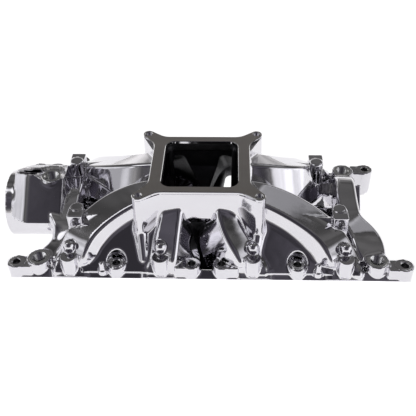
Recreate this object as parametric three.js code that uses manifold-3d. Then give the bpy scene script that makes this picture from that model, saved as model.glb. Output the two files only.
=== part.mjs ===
// Intake manifold for a V8 engine: a one-piece aluminium casting, divided at its functional
// boundaries into named solids. Millimetres, +Z up. X runs along the crankshaft with the thermostat
// neck at -X; the near bank of cylinders is at -Y and the far bank at +Y.
// The origin is the middle of the base; the carburettor pad sits CARB_X from it.
import * as THREE from "three";
import { ConvexGeometry } from "three/addons/geometries/ConvexGeometry.js";
import { mergeVertices } from "three/addons/utils/BufferGeometryUtils.js";
import Module from "manifold-3d";

// ---- Driving dimensions -------------------------------------------------------------------------
const SEAM = 0.3; // gap between neighbouring solids
const OVERRUN = 4; // how far a cutting tool runs past what it cuts
const FINE = 24; // sides of a round boss
const ROUNDEST = 40; // sides of the thermostat neck
const COARSE = 16; // sides of a hole or a small round

// Head faces: both lean 45 degrees. In a bank's own frame d runs out of the ports and t runs up the face.
const HEAD_HALF_WIDTH = 109; // outer corner of each mating plane, from the centreline
const HEAD_EDGE_BOTTOM = 58; // height of that corner
const HEAD_THICKNESS = 11.3; // of each flange, square to its mating plane
const SPOT_FACE_Z = 74; // flat tops of the bolt bosses
const FLANGE_CUT_X = 90; // each flange is divided here and at the bank centre
const BANK_STAGGER = 18.4; // near bank sits this far behind the far bank
const FRONT_END_BOLT = 233; // from the bank centre
const REAR_END_BOLT = 238.4;
const MIDDLE_BOLT = 110;
const INNER_BOLT = 18.3;
const BOLT_INSET = 12; // bolts, injectors, pegs and coolant holes stand this far inside the corner
const BOLT_HOLE_R = 4.9;
const BOLT_EAR_R = 12;
const BOLT_WEB_HEIGHT = 16;
const FLANGE_END_INSET = 6; // the slab stops this far inside the end bolts

// Carburettor pad
const DECK_Z = 153.5;
const PAD_THICKNESS = 12;
const PAD_HALF_X = 61.9;
const PAD_HALF_Y = 59.2;
const STUD_X = 71.45; // half of 142.9
const STUD_Y = 65.9; // half of 131.8
const STUD_EAR_R = 7.5;
const STUD_HOLE_R = 3.9;
const MOUTH_HALF_X = 46.8;
const MOUTH_HALF_Y = 48;
const MOUTH_CORNER_R = 12;
const EAR_STEPS = 8; // facets round a stud ear
const EAR_ROOT_X = 12; // how far each flank of an ear's web starts from the pad corner
const EAR_ROOT_Y = 17;

// Plenum
const PLENUM_WALL = 6;
const PLENUM_SKIRT_Z = 108; // the upper box ends here and the bowl begins
const PLENUM_FLOOR_Z = 58;
const BOWL_HALF_X = 47;
const BOWL_HALF_Y = 34;

// Stud columns
const COLUMN_FOOT_R = 9;
const COLUMN_FOOT_Z = 92;

// Ports and runners
const INNER_PORT_X = 55.6; // 111.25 port spacing
const OUTER_PORT_X = 166.9;
const PORT_T = 90; // port centre up the head face
const PORT_WIDTH = 31;
const PORT_HEIGHT = 46;
const RUNNER_WALL = 5;
const RUNNER_FOOT_WIDTH = 41; // outside, where a runner meets its flange
const RUNNER_FOOT_HEIGHT = 54;
const RUNNER_CHAMFER = 7;
const BORE_CHAMFER = 5;
const INNER_ENTRY_X = 34;

// Injector bosses
const INJECTOR_INSET = 10.5;
const INJECTOR_TOP_Z = 85.7;
const INJECTOR_R = 10.2;
const INJECTOR_DEPTH = 20;
const INJECTOR_DOME_R = 7.5;
const INJECTOR_DOME_BACK = 11;
const INJECTOR_DOME_RISE = 8;

// Fuel rail posts and pegs
const RAIL_POST_X = 160;
const RAIL_POST_Y = 61;
const RAIL_POST_TOP_Z = 123;
const RAIL_POST_WIDTH = 15;
const RAIL_POST_FOOT_Z = 94;
const RAIL_POST_STEP = 2; // the flat side stops this far below the round one
const PEG_FRONT_X = 126.5;
const PEG_REAR_X = 134.5;
const PEG_INSET = 4.5;
const PEG_R = 3.3;
const PEG_FOOT_R = 4.5;
const PEG_FOOT_Z = 68;
const PEG_SHANK_Z = 73;
const PEG_TOP_Z = 82;

// Web plates between the runners of a bank
const WEB_T = 119;
const WEB_THICKNESS = 6;
const WEB_INSET = 18.4; // each web starts this far outside its inner port
const WEB_OUTER_X = 150;
const WEB_UPPER_D = -22;

// Coolant bosses and crossovers
const COOLANT_X = 206;
const COOLANT_INSET = 18;
const COOLANT_TOP_Z = 76;
const COOLANT_BOSS_R = 14.5;
const COOLANT_HOLE_R = 8.2;
const ARM_WIDTH = 26;
const ARM_HEIGHT = 28;
const ARM_WALL = 5.5;
const ARM_CHAMFER = 6;
const PASSAGE_CHAMFER = 3;
const REAR_ARM_X = 188; // centre of the rear crossover
const FRONT_ARM_X = -178;
const ARM_BEND_INSET = 8; // the bend stands this far inside the coolant hole
const ARM_BEND_BACK = 28; // each arm bends this far short of its coolant hole
const ARM_END_BACK = 12;
const ARM_MIDDLE_Z = 80;
const ARM_BEND_Z = 72;
const ARM_END_Z = 58;

// Thermostat neck
const NECK_Y = 15;
const NECK_Z = 75.2;
const NECK_R = 43.5;
const NECK_BORE_R = 33;
const NECK_BACK_X = -172;
const NECK_BACK_WALL = 8;
const NECK_EAR_Y = 46;
const NECK_EAR_R = 11;
const NECK_EAR_LENGTH = 30;
const NECK_EAR_HOLE_R = 4;
const NECK_EAR_HOLE_DEPTH = 20;
const SENSOR_X = -197;
const SENSOR_Y = 7;
const SENSOR_TOP_Z = 127;
const SENSOR_R = 15;
const SENSOR_FOOT_R = 14;
const SENSOR_HOLE_R = 9.5;
const SENSOR_HOLE_DEPTH = 24;

// Valley floor and end rails
const FLOOR_Z = 14;
const FLOOR_THICKNESS = 5;
const END_RAIL_X = 196; // centre of each rail, from the middle
const END_RAIL_WIDTH = 22;
const END_RAIL_HEIGHT = 13;

// ---- Worked-out values --------------------------------------------------------------------------
const ROOT2 = Math.SQRT2;
const MATING_D = (HEAD_HALF_WIDTH - HEAD_EDGE_BOTTOM) / ROOT2;
const INNER_FACE_D = MATING_D - HEAD_THICKNESS;
const EDGE_T = (HEAD_HALF_WIDTH + HEAD_EDGE_BOTTOM) / ROOT2;
const CARB_X = (FRONT_END_BOLT - REAR_END_BOLT) / 2;
const HALF_LENGTH = (FRONT_END_BOLT + REAR_END_BOLT + BANK_STAGGER) / 2 + BOLT_EAR_R;
const WEB_INNER_X = INNER_PORT_X + WEB_INSET;
const BOLT_Y = HEAD_HALF_WIDTH - BOLT_INSET;
const INJECTOR_Y = HEAD_HALF_WIDTH - INJECTOR_INSET;
const PEG_Y = HEAD_HALF_WIDTH - PEG_INSET;
const COOLANT_Y = HEAD_HALF_WIDTH - COOLANT_INSET;
const ARM_BEND_Y = COOLANT_Y - ARM_BEND_BACK;
const ARM_END_Y = COOLANT_Y - ARM_END_BACK;
const PAD_UNDERSIDE_Z = DECK_Z - PAD_THICKNESS;
const PLENUM_TOP_Z = PAD_UNDERSIDE_Z - SEAM;

const PEG_XS = [-PEG_FRONT_X, PEG_REAR_X];

const BANKS = [
  { name: "near", side: -1, x: CARB_X + BANK_STAGGER / 2 },
  { name: "far", side: 1, x: CARB_X - BANK_STAGGER / 2 },
];
const ENDS = [
  { name: "front", sign: -1 },
  { name: "rear", sign: 1 },
];

const wasm = await Module();
wasm.setup();

// ---- Solids -------------------------------------------------------------------------------------
function solidFrom(geometry) {
  geometry.deleteAttribute("normal");
  geometry.deleteAttribute("uv");
  const merged = mergeVertices(geometry, 1e-4);
  return new wasm.Manifold(new wasm.Mesh({
    numProp: 3,
    vertProperties: new Float32Array(merged.attributes.position.array),
    triVerts: new Uint32Array(merged.index.array),
  }));
}

function geometryFrom(solid) {
  const mesh = solid.getMesh();
  const geometry = new THREE.BufferGeometry();
  geometry.setAttribute("position", new THREE.BufferAttribute(new Float32Array(mesh.vertProperties), 3));
  geometry.setIndex(new THREE.BufferAttribute(new Uint32Array(mesh.triVerts), 1));
  geometry.computeVertexNormals();
  return geometry;
}

const joined = (solids) => solids.reduce((sum, next) => sum.add(next));
const cut = (solid, tools) => tools.reduce((left, tool) => left.subtract(tool), solid);

// Trimming against a neighbour can leave a paper-thin offcut: the piece itself is the largest body.
function mainBody(solid) {
  return solid.decompose().reduce((main, next) => (next.volume() > main.volume() ? next : main));
}

function box(x0, x1, y0, y1, z0, z1) {
  const geometry = new THREE.BoxGeometry(x1 - x0, y1 - y0, z1 - z0);
  geometry.translate((x0 + x1) / 2, (y0 + y1) / 2, (z0 + z1) / 2);
  return solidFrom(geometry);
}

// Upright cone or cylinder between two heights.
function upright(x, y, z0, z1, r0, r1 = r0, sides = FINE) {
  const geometry = new THREE.CylinderGeometry(r1, r0, z1 - z0, sides);
  geometry.rotateX(Math.PI / 2);
  geometry.translate(x, y, (z0 + z1) / 2);
  return solidFrom(geometry);
}

// Cylinder along X between two stations.
function alongX(x0, x1, y, z, radius, sides = FINE) {
  const geometry = new THREE.CylinderGeometry(radius, radius, x1 - x0, sides);
  geometry.rotateZ(Math.PI / 2);
  geometry.translate((x0 + x1) / 2, y, z);
  return solidFrom(geometry);
}

function ball(x, y, z, radius) {
  const geometry = new THREE.SphereGeometry(radius, COARSE, COARSE / 4);
  geometry.rotateX(Math.PI / 2);
  geometry.translate(x, y, z);
  return solidFrom(geometry);
}

function prism(outline, z0, z1) {
  const geometry = new THREE.ExtrudeGeometry(outline, { depth: z1 - z0, bevelEnabled: false, curveSegments: 5 });
  geometry.translate(0, 0, z0);
  return solidFrom(geometry);
}

const hull = (points) => solidFrom(new ConvexGeometry(points));

// A point of a bank from its own x, d (out of the ports) and t (up the head face).
function bankPoint(bank, x, d, t) {
  return new THREE.Vector3(bank.x + x, bank.side * (d + t) / ROOT2, (t - d) / ROOT2);
}

// Block of a bank, square to its head face.
function bankBlock(bank, x0, x1, d0, d1, t0, t1) {
  const corners = [];
  for (const x of [x0, x1]) {
    for (const d of [d0, d1]) {
      for (const t of [t0, t1]) {
        corners.push(bankPoint(bank, x, d, t));
      }
    }
  }
  return hull(corners);
}

// ---- Ducts: a skin lofted through eight-sided cross-sections -------------------------------------
// A station is { at, width, height }; the section stands square to the path, its height towards +Z.
function sectionPoints(station, direction, grow, chamfer) {
  const up = new THREE.Vector3(0, 0, 1);
  const across = new THREE.Vector3().crossVectors(direction, up).normalize();
  const rise = new THREE.Vector3().crossVectors(across, direction).normalize();
  const w = station.width / 2 + grow;
  const h = station.height / 2 + grow;
  const outline = [
    [w, h - chamfer], [w - chamfer, h], [chamfer - w, h], [-w, h - chamfer],
    [-w, chamfer - h], [chamfer - w, -h], [w - chamfer, -h], [w, chamfer - h],
  ];
  return outline.map(([a, b]) => station.at.clone().addScaledVector(across, a).addScaledVector(rise, b));
}

function duct(stations, grow, chamfer) {
  const last = stations.length - 1;
  const rings = stations.map((station, i) => {
    const before = stations[Math.max(i - 1, 0)].at;
    const after = stations[Math.min(i + 1, last)].at;
    const direction = new THREE.Vector3().subVectors(after, before).normalize();
    return sectionPoints(station, direction, grow, chamfer);
  });
  const sides = rings[0].length;
  const index = [];
  for (let side = 1; side < sides - 1; side += 1) {
    index.push(0, side, side + 1);
    index.push(last * sides, last * sides + side + 1, last * sides + side);
  }
  for (let ring = 0; ring < last; ring += 1) {
    for (let side = 0; side < sides; side += 1) {
      const a = ring * sides + side;
      const b = ring * sides + ((side + 1) % sides);
      index.push(a, a + sides, b);
      index.push(b, a + sides, b + sides);
    }
  }
  const geometry = new THREE.BufferGeometry().setFromPoints(rings.flat());
  geometry.setIndex(index);
  return solidFrom(geometry);
}

// ---- Carburettor pad ----------------------------------------------------------------------------
// Four ears reach out to the studs from a square pad, each on a tapered web.
function padOutline() {
  const outline = new THREE.Shape();
  const corners = [[1, -1], [1, 1], [-1, 1], [-1, -1]];
  const edgePoints = corners.flatMap(([sx, sy]) => {
    const stud = new THREE.Vector2(sx * STUD_X, sy * STUD_Y);
    const out = new THREE.Vector2(sx, sy).normalize();
    const side = new THREE.Vector2(-out.y, out.x);
    const ear = [];
    for (let i = 0; i <= EAR_STEPS; i += 1) {
      const angle = (i / EAR_STEPS - 0.5) * Math.PI;
      ear.push(stud.clone()
        .addScaledVector(out, STUD_EAR_R * Math.cos(angle))
        .addScaledVector(side, STUD_EAR_R * Math.sin(angle)));
    }
    const rootX = new THREE.Vector2(sx * PAD_HALF_X, sy * (PAD_HALF_Y - EAR_ROOT_Y));
    const rootY = new THREE.Vector2(sx * (PAD_HALF_X - EAR_ROOT_X), sy * PAD_HALF_Y);
    const before = sx * sy < 0 ? rootY : rootX;
    const after = sx * sy < 0 ? rootX : rootY;
    return [before, ...ear, after];
  });
  outline.setFromPoints(edgePoints.map((p) => new THREE.Vector2(p.x + CARB_X, p.y)));
  return outline;
}

function mouthOutline(halfX, halfY) {
  const outline = new THREE.Shape();
  const r = MOUTH_CORNER_R;
  outline.moveTo(CARB_X - halfX + r, -halfY);
  outline.lineTo(CARB_X + halfX - r, -halfY);
  outline.absarc(CARB_X + halfX - r, -halfY + r, r, -Math.PI / 2, 0, false);
  outline.absarc(CARB_X + halfX - r, halfY - r, r, 0, Math.PI / 2, false);
  outline.absarc(CARB_X - halfX + r, halfY - r, r, Math.PI / 2, Math.PI, false);
  outline.absarc(CARB_X - halfX + r, -halfY + r, r, Math.PI, 1.5 * Math.PI, false);
  return outline;
}

const studCorners = [-1, 1].flatMap((sy) => ENDS.map((end) => ({
  name: `${end.name}_${sy < 0 ? "near" : "far"}`,
  x: CARB_X + end.sign * STUD_X,
  y: sy * STUD_Y,
})));

function carbFlange() {
  const holes = studCorners.map((stud) => upright(
    stud.x, stud.y, PAD_UNDERSIDE_Z - OVERRUN, DECK_Z + OVERRUN, STUD_HOLE_R, STUD_HOLE_R, COARSE));
  const mouth = prism(mouthOutline(MOUTH_HALF_X, MOUTH_HALF_Y), PAD_UNDERSIDE_Z - OVERRUN, DECK_Z + OVERRUN);
  return cut(prism(padOutline(), PAD_UNDERSIDE_Z, DECK_Z), [mouth, ...holes]);
}

// ---- Plenum -------------------------------------------------------------------------------------
function rectangle(halfX, halfY, z) {
  return [[-1, -1], [1, -1], [1, 1], [-1, 1]].map(([sx, sy]) => (
    new THREE.Vector3(CARB_X + sx * halfX, sy * halfY, z)));
}

function plenumEnvelope(grow) {
  const top = PLENUM_TOP_Z + grow;
  const x = PAD_HALF_X - SEAM + grow;
  const y = PAD_HALF_Y - SEAM + grow;
  const upper = hull([...rectangle(x, y, PLENUM_SKIRT_Z), ...rectangle(x, y, top)]);
  const bowl = hull([
    ...rectangle(BOWL_HALF_X + grow, BOWL_HALF_Y + grow, PLENUM_FLOOR_Z - grow),
    ...rectangle(x, y, PLENUM_SKIRT_Z),
  ]);
  return upper.add(bowl);
}

function plenumCavity() {
  const wallX = PAD_HALF_X - PLENUM_WALL;
  const wallY = PAD_HALF_Y - PLENUM_WALL;
  const mouth = prism(mouthOutline(MOUTH_HALF_X, MOUTH_HALF_Y), PLENUM_TOP_Z - PLENUM_WALL, DECK_Z);
  const upper = hull([
    ...rectangle(wallX, wallY, PLENUM_SKIRT_Z),
    ...rectangle(wallX, wallY, PLENUM_TOP_Z - PLENUM_WALL),
  ]);
  const bowl = hull([
    ...rectangle(BOWL_HALF_X - PLENUM_WALL, BOWL_HALF_Y - PLENUM_WALL, PLENUM_FLOOR_Z + PLENUM_WALL),
    ...rectangle(wallX, wallY, PLENUM_SKIRT_Z),
  ]);
  return joined([mouth, upper, bowl]);
}

function plenumBox() {
  return cut(plenumEnvelope(0), [plenumCavity(), ...allRunners.map((runner) => runnerBore(runner))]);
}

function studColumn(stud, grow) {
  return upright(stud.x, stud.y, COLUMN_FOOT_Z - grow, PAD_UNDERSIDE_Z - SEAM + grow,
    COLUMN_FOOT_R + grow, STUD_EAR_R + grow);
}

// ---- Runners ------------------------------------------------------------------------------------
// An inner runner drops straight down the port axis. An outer runner leaves the plenum's end wall,
// sweeps out and down, and meets the same head face. "follow" is how far a station has moved from the
// carburettor's centre to its own bank's centre.
const INNER_RUNNER = [
  { x: INNER_ENTRY_X, d: -50, t: 98, width: 28, height: 44, follow: 0 },
  { x: INNER_ENTRY_X + 3, d: -32, t: 100, width: 36, height: 58, follow: 0 },
  { x: 44, d: -8, t: 100, width: 38, height: 60, follow: 0.4 },
  { x: 53, d: 14, t: 98, width: 40, height: 60, follow: 0.9 },
  { x: INNER_PORT_X, d: INNER_FACE_D, t: PORT_T + 4, width: 41, height: 58, follow: 1 },
];
const OUTER_RUNNER = [
  { x: 45, y: -26, z: 117, width: 36, height: 34, follow: 0 },
  { x: 79.3, y: -29, z: 114.5, width: 37, height: 35, follow: 0.1 },
  { x: 105, y: -36, z: 109, width: 37, height: 36, follow: 0.3 },
  { x: 125, y: -43.5, z: 101, width: 38, height: 38, follow: 0.5 },
  { x: 142, y: -54, z: 90, width: 39, height: 42, follow: 0.7 },
  { x: 155, y: -64.5, z: 77, width: 40, height: 48, follow: 0.9 },
];
const OUTER_RUNNER_END = { x: OUTER_PORT_X, d: INNER_FACE_D, t: PORT_T + 4, width: 41, height: 58, follow: 1 };

function stationAt(bank, end, station) {
  const shift = CARB_X + (bank.x - CARB_X) * station.follow;
  const onBank = { ...bank, x: shift };
  const at = station.d === undefined
    ? new THREE.Vector3(shift + end.sign * station.x, -bank.side * station.y, station.z)
    : bankPoint(onBank, end.sign * station.x, station.d, station.t);
  return { at, width: station.width, height: station.height };
}

function runnerStations(runner) {
  const plan = runner.outer ? [...OUTER_RUNNER, OUTER_RUNNER_END] : INNER_RUNNER;
  return plan.map((station) => stationAt(runner.bank, runner.end, station));
}

function portStation(runner, d) {
  const portX = runner.outer ? OUTER_PORT_X : INNER_PORT_X;
  const at = bankPoint(runner.bank, runner.end.sign * portX, d, PORT_T);
  return { at, width: PORT_WIDTH, height: PORT_HEIGHT };
}

function runnerEnvelope(runner, grow) {
  const foot = { ...portStation(runner, MATING_D), width: RUNNER_FOOT_WIDTH, height: RUNNER_FOOT_HEIGHT };
  return duct([...runnerStations(runner), foot], grow, RUNNER_CHAMFER);
}

// A runner with its seam, cut off where its flange takes over.
function runnerSkin(runner) {
  return cut(runnerEnvelope(runner, SEAM), [
    bankBlock(runner.bank, -HALF_LENGTH, HALF_LENGTH, INNER_FACE_D, INNER_FACE_D + HEAD_HALF_WIDTH,
      -HEAD_HALF_WIDTH, 2 * HEAD_HALF_WIDTH)]);
}

function runnerBore(runner) {
  const inside = runnerStations(runner).map((station) => ({
    at: station.at,
    width: Math.min(station.width - 2 * RUNNER_WALL, PORT_WIDTH),
    height: Math.min(station.height - 2 * RUNNER_WALL, PORT_HEIGHT),
  }));
  return duct([...inside, portStation(runner, MATING_D), portStation(runner, MATING_D + OVERRUN)], 0, BORE_CHAMFER);
}

const allRunners = BANKS.flatMap((bank) => [
  { outer: true, end: ENDS[0] },
  { outer: false, end: ENDS[0] },
  { outer: false, end: ENDS[1] },
  { outer: true, end: ENDS[1] },
].map((spec, i) => ({ ...spec, bank, name: `runner_${bank.name}_${i + 1}` })));

function runnerTube(runner) {
  const columns = studCorners.map((stud) => studColumn(stud, SEAM));
  return cut(runnerEnvelope(runner, 0), [
    plenumEnvelope(SEAM),
    pastInnerFace(runner.bank),
    ...columns,
    runnerBore(runner),
  ]);
}

// Everything from a flange's inner face outwards.
function pastInnerFace(bank) {
  return bankBlock(bank, -HALF_LENGTH, HALF_LENGTH, INNER_FACE_D - SEAM, INNER_FACE_D + HEAD_HALF_WIDTH,
    -HEAD_HALF_WIDTH, 2 * HEAD_HALF_WIDTH);
}

// ---- Head flanges -------------------------------------------------------------------------------
function flangeSlab(bank, grow) {
  const front = -FRONT_END_BOLT + FLANGE_END_INSET;
  const rear = REAR_END_BOLT - FLANGE_END_INSET;
  const inner = INNER_FACE_D - grow;
  const corners = [front, rear].flatMap((x) => [
    bankPoint(bank, x, MATING_D, EDGE_T + grow),
    bankPoint(bank, x, inner, EDGE_T + grow),
    bankPoint(bank, x, MATING_D, MATING_D),
    bankPoint(bank, x, inner, inner),
  ]);
  return hull(corners);
}

const BOLTS = [
  { x: -FRONT_END_BOLT, reach: 20 },
  { x: -MIDDLE_BOLT, reach: 9 },
  { x: -INNER_BOLT, reach: 14 },
  { x: INNER_BOLT, reach: 14 },
  { x: MIDDLE_BOLT, reach: 9 },
  { x: REAR_END_BOLT, reach: 20 },
];

// Flat-topped bolt boss, cut off by the mating plane below.
function boltBoss(bank, bolt) {
  const x = bank.x + bolt.x;
  const y = bank.side * BOLT_Y;
  const round = upright(x, y, 0, SPOT_FACE_Z, BOLT_EAR_R);
  const inward = bank.side * (BOLT_Y - bolt.reach);
  const outward = bank.side * HEAD_HALF_WIDTH;
  const towardMiddle = bolt.x < 0 ? 1 : -1;
  const web = box(
    Math.min(x, x + towardMiddle * bolt.reach), Math.max(x, x + towardMiddle * bolt.reach),
    Math.min(outward, inward), Math.max(outward, inward), SPOT_FACE_Z - BOLT_WEB_HEIGHT, SPOT_FACE_Z);
  const isEnd = Math.abs(bolt.x) > OUTER_PORT_X;
  return isEnd ? round.add(web) : round;
}

function belowMatingPlane(bank) {
  return bankBlock(bank, -HALF_LENGTH, HALF_LENGTH, MATING_D, MATING_D + HEAD_HALF_WIDTH,
    -HEAD_HALF_WIDTH, 2 * HEAD_HALF_WIDTH);
}

function flangeBody(bank) {
  const bosses = BOLTS.map((bolt) => boltBoss(bank, bolt));
  return cut(joined([flangeSlab(bank, 0), ...bosses]), [belowMatingPlane(bank)]);
}

function boltHoles(bank) {
  return BOLTS.map((bolt) => upright(bank.x + bolt.x, bank.side * BOLT_Y, 0, SPOT_FACE_Z + OVERRUN,
    BOLT_HOLE_R, BOLT_HOLE_R, COARSE));
}

function coolantHoles(bank) {
  return ENDS.map((end) => upright(bank.x + end.sign * COOLANT_X, bank.side * COOLANT_Y, 0,
    COOLANT_TOP_Z + OVERRUN, COOLANT_HOLE_R, COOLANT_HOLE_R, COARSE));
}

// One section of a flange, between two cuts square to the crankshaft.
function headFlange(bank, from, to) {
  const bores = allRunners.filter((runner) => runner.bank === bank).map((runner) => runnerBore(runner));
  const passages = ENDS.flatMap((end) => armPassages(end));
  const whole = cut(flangeBody(bank), [...bores, ...boltHoles(bank), ...coolantHoles(bank), ...passages]);
  return whole.intersect(box(bank.x + from, bank.x + to, -HEAD_HALF_WIDTH, HEAD_HALF_WIDTH, 0, DECK_Z));
}

function flangeSections() {
  const reach = HALF_LENGTH + BANK_STAGGER;
  const edges = [-reach, -FLANGE_CUT_X, 0, FLANGE_CUT_X, reach];
  return edges.slice(1).map((edge, i) => ({ from: edges[i] + SEAM / 2, to: edge - SEAM / 2 }));
}

function flangeSolid(bank) {
  return joined([flangeSlab(bank, SEAM), ...BOLTS.map((bolt) => boltBoss(bank, bolt).add(
    upright(bank.x + bolt.x, bank.side * BOLT_Y, 0, SPOT_FACE_Z + SEAM, BOLT_EAR_R + SEAM)))]);
}

// ---- Bosses, posts and pegs ---------------------------------------------------------------------
// Undrilled injector boss: an upright stub with a flat top, and a round-topped post leaning on its back.
function injectorEnvelope(runner, grow) {
  const portX = runner.outer ? OUTER_PORT_X : INNER_PORT_X;
  const x = runner.bank.x + runner.end.sign * portX;
  const y = runner.bank.side * INJECTOR_Y;
  const domeY = runner.bank.side * (INJECTOR_Y - INJECTOR_DOME_BACK);
  const stub = upright(x, y, INJECTOR_TOP_Z - INJECTOR_DEPTH - grow, INJECTOR_TOP_Z + grow, INJECTOR_R + grow);
  const domeZ = INJECTOR_TOP_Z + INJECTOR_DOME_RISE;
  const post = upright(x, domeY, INJECTOR_TOP_Z - INJECTOR_DEPTH - grow, domeZ, INJECTOR_DOME_R + grow,
    INJECTOR_DOME_R + grow, COARSE);
  return joined([stub, post, ball(x, domeY, domeZ, INJECTOR_DOME_R + grow)]);
}

function injectorBoss(runner) {
  const bank = runner.bank;
  const limit = box(-HALF_LENGTH, HALF_LENGTH, -HEAD_HALF_WIDTH, HEAD_HALF_WIDTH, 0, DECK_Z);
  return cut(injectorEnvelope(runner, 0).intersect(limit), [
    runnerSkin(runner), flangeSlab(bank, SEAM), belowMatingPlane(bank)]);
}

// D-shaped fuel rail post with a round inboard side.
function railPost(bank, end) {
  const x = bank.x + end.sign * RAIL_POST_X;
  const y = bank.side * RAIL_POST_Y;
  const r = RAIL_POST_WIDTH / 2;
  const round = upright(x, y, RAIL_POST_FOOT_Z, RAIL_POST_TOP_Z, r);
  const flat = box(x - r, x + r, Math.min(y, y + bank.side * r), Math.max(y, y + bank.side * r),
    RAIL_POST_FOOT_Z, RAIL_POST_TOP_Z - RAIL_POST_STEP);
  const runner = allRunners.find((item) => item.bank === bank && item.end === end && item.outer);
  return cut(round.add(flat), [runnerEnvelope(runner, SEAM)]);
}

function peg(bank, x) {
  const y = bank.side * PEG_Y;
  const foot = upright(bank.x + x, y, PEG_FOOT_Z, PEG_SHANK_Z, PEG_FOOT_R, PEG_R, COARSE);
  const shank = upright(bank.x + x, y, PEG_SHANK_Z, PEG_TOP_Z - PEG_R, PEG_R, PEG_R, COARSE);
  const tip = ball(bank.x + x, y, PEG_TOP_Z - PEG_R, PEG_R);
  return cut(joined([foot, shank, tip]), [flangeSlab(bank, SEAM)]);
}

function webPlate(bank, end) {
  const x0 = Math.min(end.sign * WEB_INNER_X, end.sign * WEB_OUTER_X);
  const x1 = Math.max(end.sign * WEB_INNER_X, end.sign * WEB_OUTER_X);
  const plate = bankBlock(bank, x0, x1, WEB_UPPER_D, INNER_FACE_D, WEB_T - WEB_THICKNESS, WEB_T);
  const runners = allRunners.filter((runner) => runner.bank === bank && runner.end === end);
  return cut(plate, [
    ...runners.map((runner) => runnerEnvelope(runner, SEAM)),
    ...runners.map((runner) => injectorEnvelope(runner, SEAM)),
    ...studCorners.map((stud) => studColumn(stud, SEAM)),
    ...PEG_XS.map((x) => upright(bank.x + x, bank.side * PEG_Y, PEG_FOOT_Z - OVERRUN, PEG_TOP_Z,
      PEG_FOOT_R + SEAM)),
    flangeSolid(bank),
    plenumEnvelope(SEAM),
  ]);
}

// ---- Coolant side -------------------------------------------------------------------------------
function coolantBossEnvelope(bank, end, grow) {
  return upright(bank.x + end.sign * COOLANT_X, bank.side * COOLANT_Y, ARM_END_Z - ARM_HEIGHT - grow,
    COOLANT_TOP_Z + grow, COOLANT_BOSS_R + grow);
}

function coolantBoss(bank, end) {
  return cut(coolantBossEnvelope(bank, end, 0), [
    flangeSolid(bank), belowMatingPlane(bank), ...coolantHoles(bank),
    ...coolantArms(end).map((arm) => duct(arm, SEAM, ARM_CHAMFER)), ...armPassages(end), outerRunners(end),
  ]);
}

// The two halves of a crossover, as station lists from the middle outwards.
function coolantArms(end) {
  const middleX = end.sign < 0 ? FRONT_ARM_X : REAR_ARM_X;
  return BANKS.map((bank) => {
    const bossX = bank.x + end.sign * COOLANT_X;
    const bendX = bossX - end.sign * ARM_BEND_INSET;
    const plan = [
      [middleX, 0, ARM_MIDDLE_Z],
      [(middleX + bendX) / 2, ARM_BEND_Y / 2, ARM_MIDDLE_Z],
      [bendX, ARM_BEND_Y, ARM_BEND_Z],
      [(bendX + bossX) / 2, ARM_END_Y, ARM_END_Z],
    ];
    return plan.map(([x, y, z]) => ({
      at: new THREE.Vector3(x, bank.side * y, z), width: ARM_WIDTH, height: ARM_HEIGHT }));
  });
}

// The passage inside one half of a crossover, run on to the middle and into its coolant hole.
function armPassage(arm, bank, end) {
  const first = arm[0];
  const across = { ...first, at: first.at.clone().setY(-bank.side * OVERRUN) };
  const hole = new THREE.Vector3(bank.x + end.sign * COOLANT_X, bank.side * COOLANT_Y, ARM_END_Z);
  return duct([across, ...arm.slice(1), { ...first, at: hole }], -ARM_WALL, PASSAGE_CHAMFER);
}

function armPassages(end) {
  return coolantArms(end).map((arm, i) => armPassage(arm, BANKS[i], end));
}

function neckEnvelope(grow) {
  return alongX(-HALF_LENGTH - grow, NECK_BACK_X + grow, NECK_Y, NECK_Z, NECK_R + grow, ROUNDEST);
}

function neckBore() {
  return alongX(-HALF_LENGTH - OVERRUN, NECK_BACK_X - NECK_BACK_WALL, NECK_Y, NECK_Z, NECK_BORE_R);
}

function neckSides() {
  return [-1, 1].map((side) => ({ name: side < 0 ? "near" : "far", y: NECK_Y + side * NECK_EAR_Y }));
}

function neckEar(side) {
  const ear = alongX(-HALF_LENGTH, -HALF_LENGTH + NECK_EAR_LENGTH, side.y, NECK_Z, NECK_EAR_R);
  const hole = alongX(-HALF_LENGTH - OVERRUN, -HALF_LENGTH + NECK_EAR_HOLE_DEPTH, side.y, NECK_Z,
    NECK_EAR_HOLE_R, COARSE);
  return cut(ear, [neckEnvelope(SEAM), hole]);
}

function sensorHole() {
  return upright(SENSOR_X, SENSOR_Y, SENSOR_TOP_Z - SENSOR_HOLE_DEPTH, SENSOR_TOP_Z + OVERRUN,
    SENSOR_HOLE_R, SENSOR_HOLE_R, COARSE);
}

function sensorBoss() {
  const boss = upright(SENSOR_X, SENSOR_Y, NECK_Z, SENSOR_TOP_Z, SENSOR_FOOT_R, SENSOR_R);
  return cut(boss, [neckEnvelope(SEAM), sensorHole()]);
}

function thermostatNeck() {
  return cut(neckEnvelope(0), [
    neckBore(), ...armPassages(ENDS[0]), sensorHole(), outerRunners(ENDS[0])]);
}

function frontArm(index) {
  const bank = BANKS[index];
  const arm = coolantArms(ENDS[0])[index];
  return cut(duct(arm, 0, ARM_CHAMFER), [
    armPassage(arm, bank, ENDS[0]), neckEnvelope(SEAM), flangeSolid(bank),
    ...coolantHoles(bank), outerRunners(ENDS[0])]);
}

function outerRunners(end) {
  return joined(allRunners.filter((runner) => runner.outer && runner.end === end)
    .map((runner) => runnerEnvelope(runner, SEAM)));
}

function rearCrossover() {
  const body = joined(coolantArms(ENDS[1]).map((arm) => duct(arm, 0, ARM_CHAMFER)));
  return cut(body, [
    ...armPassages(ENDS[1]),
    ...BANKS.map((bank) => flangeSolid(bank)),
    ...BANKS.flatMap((bank) => coolantHoles(bank)),
    outerRunners(ENDS[1]),
  ]);
}

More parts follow.
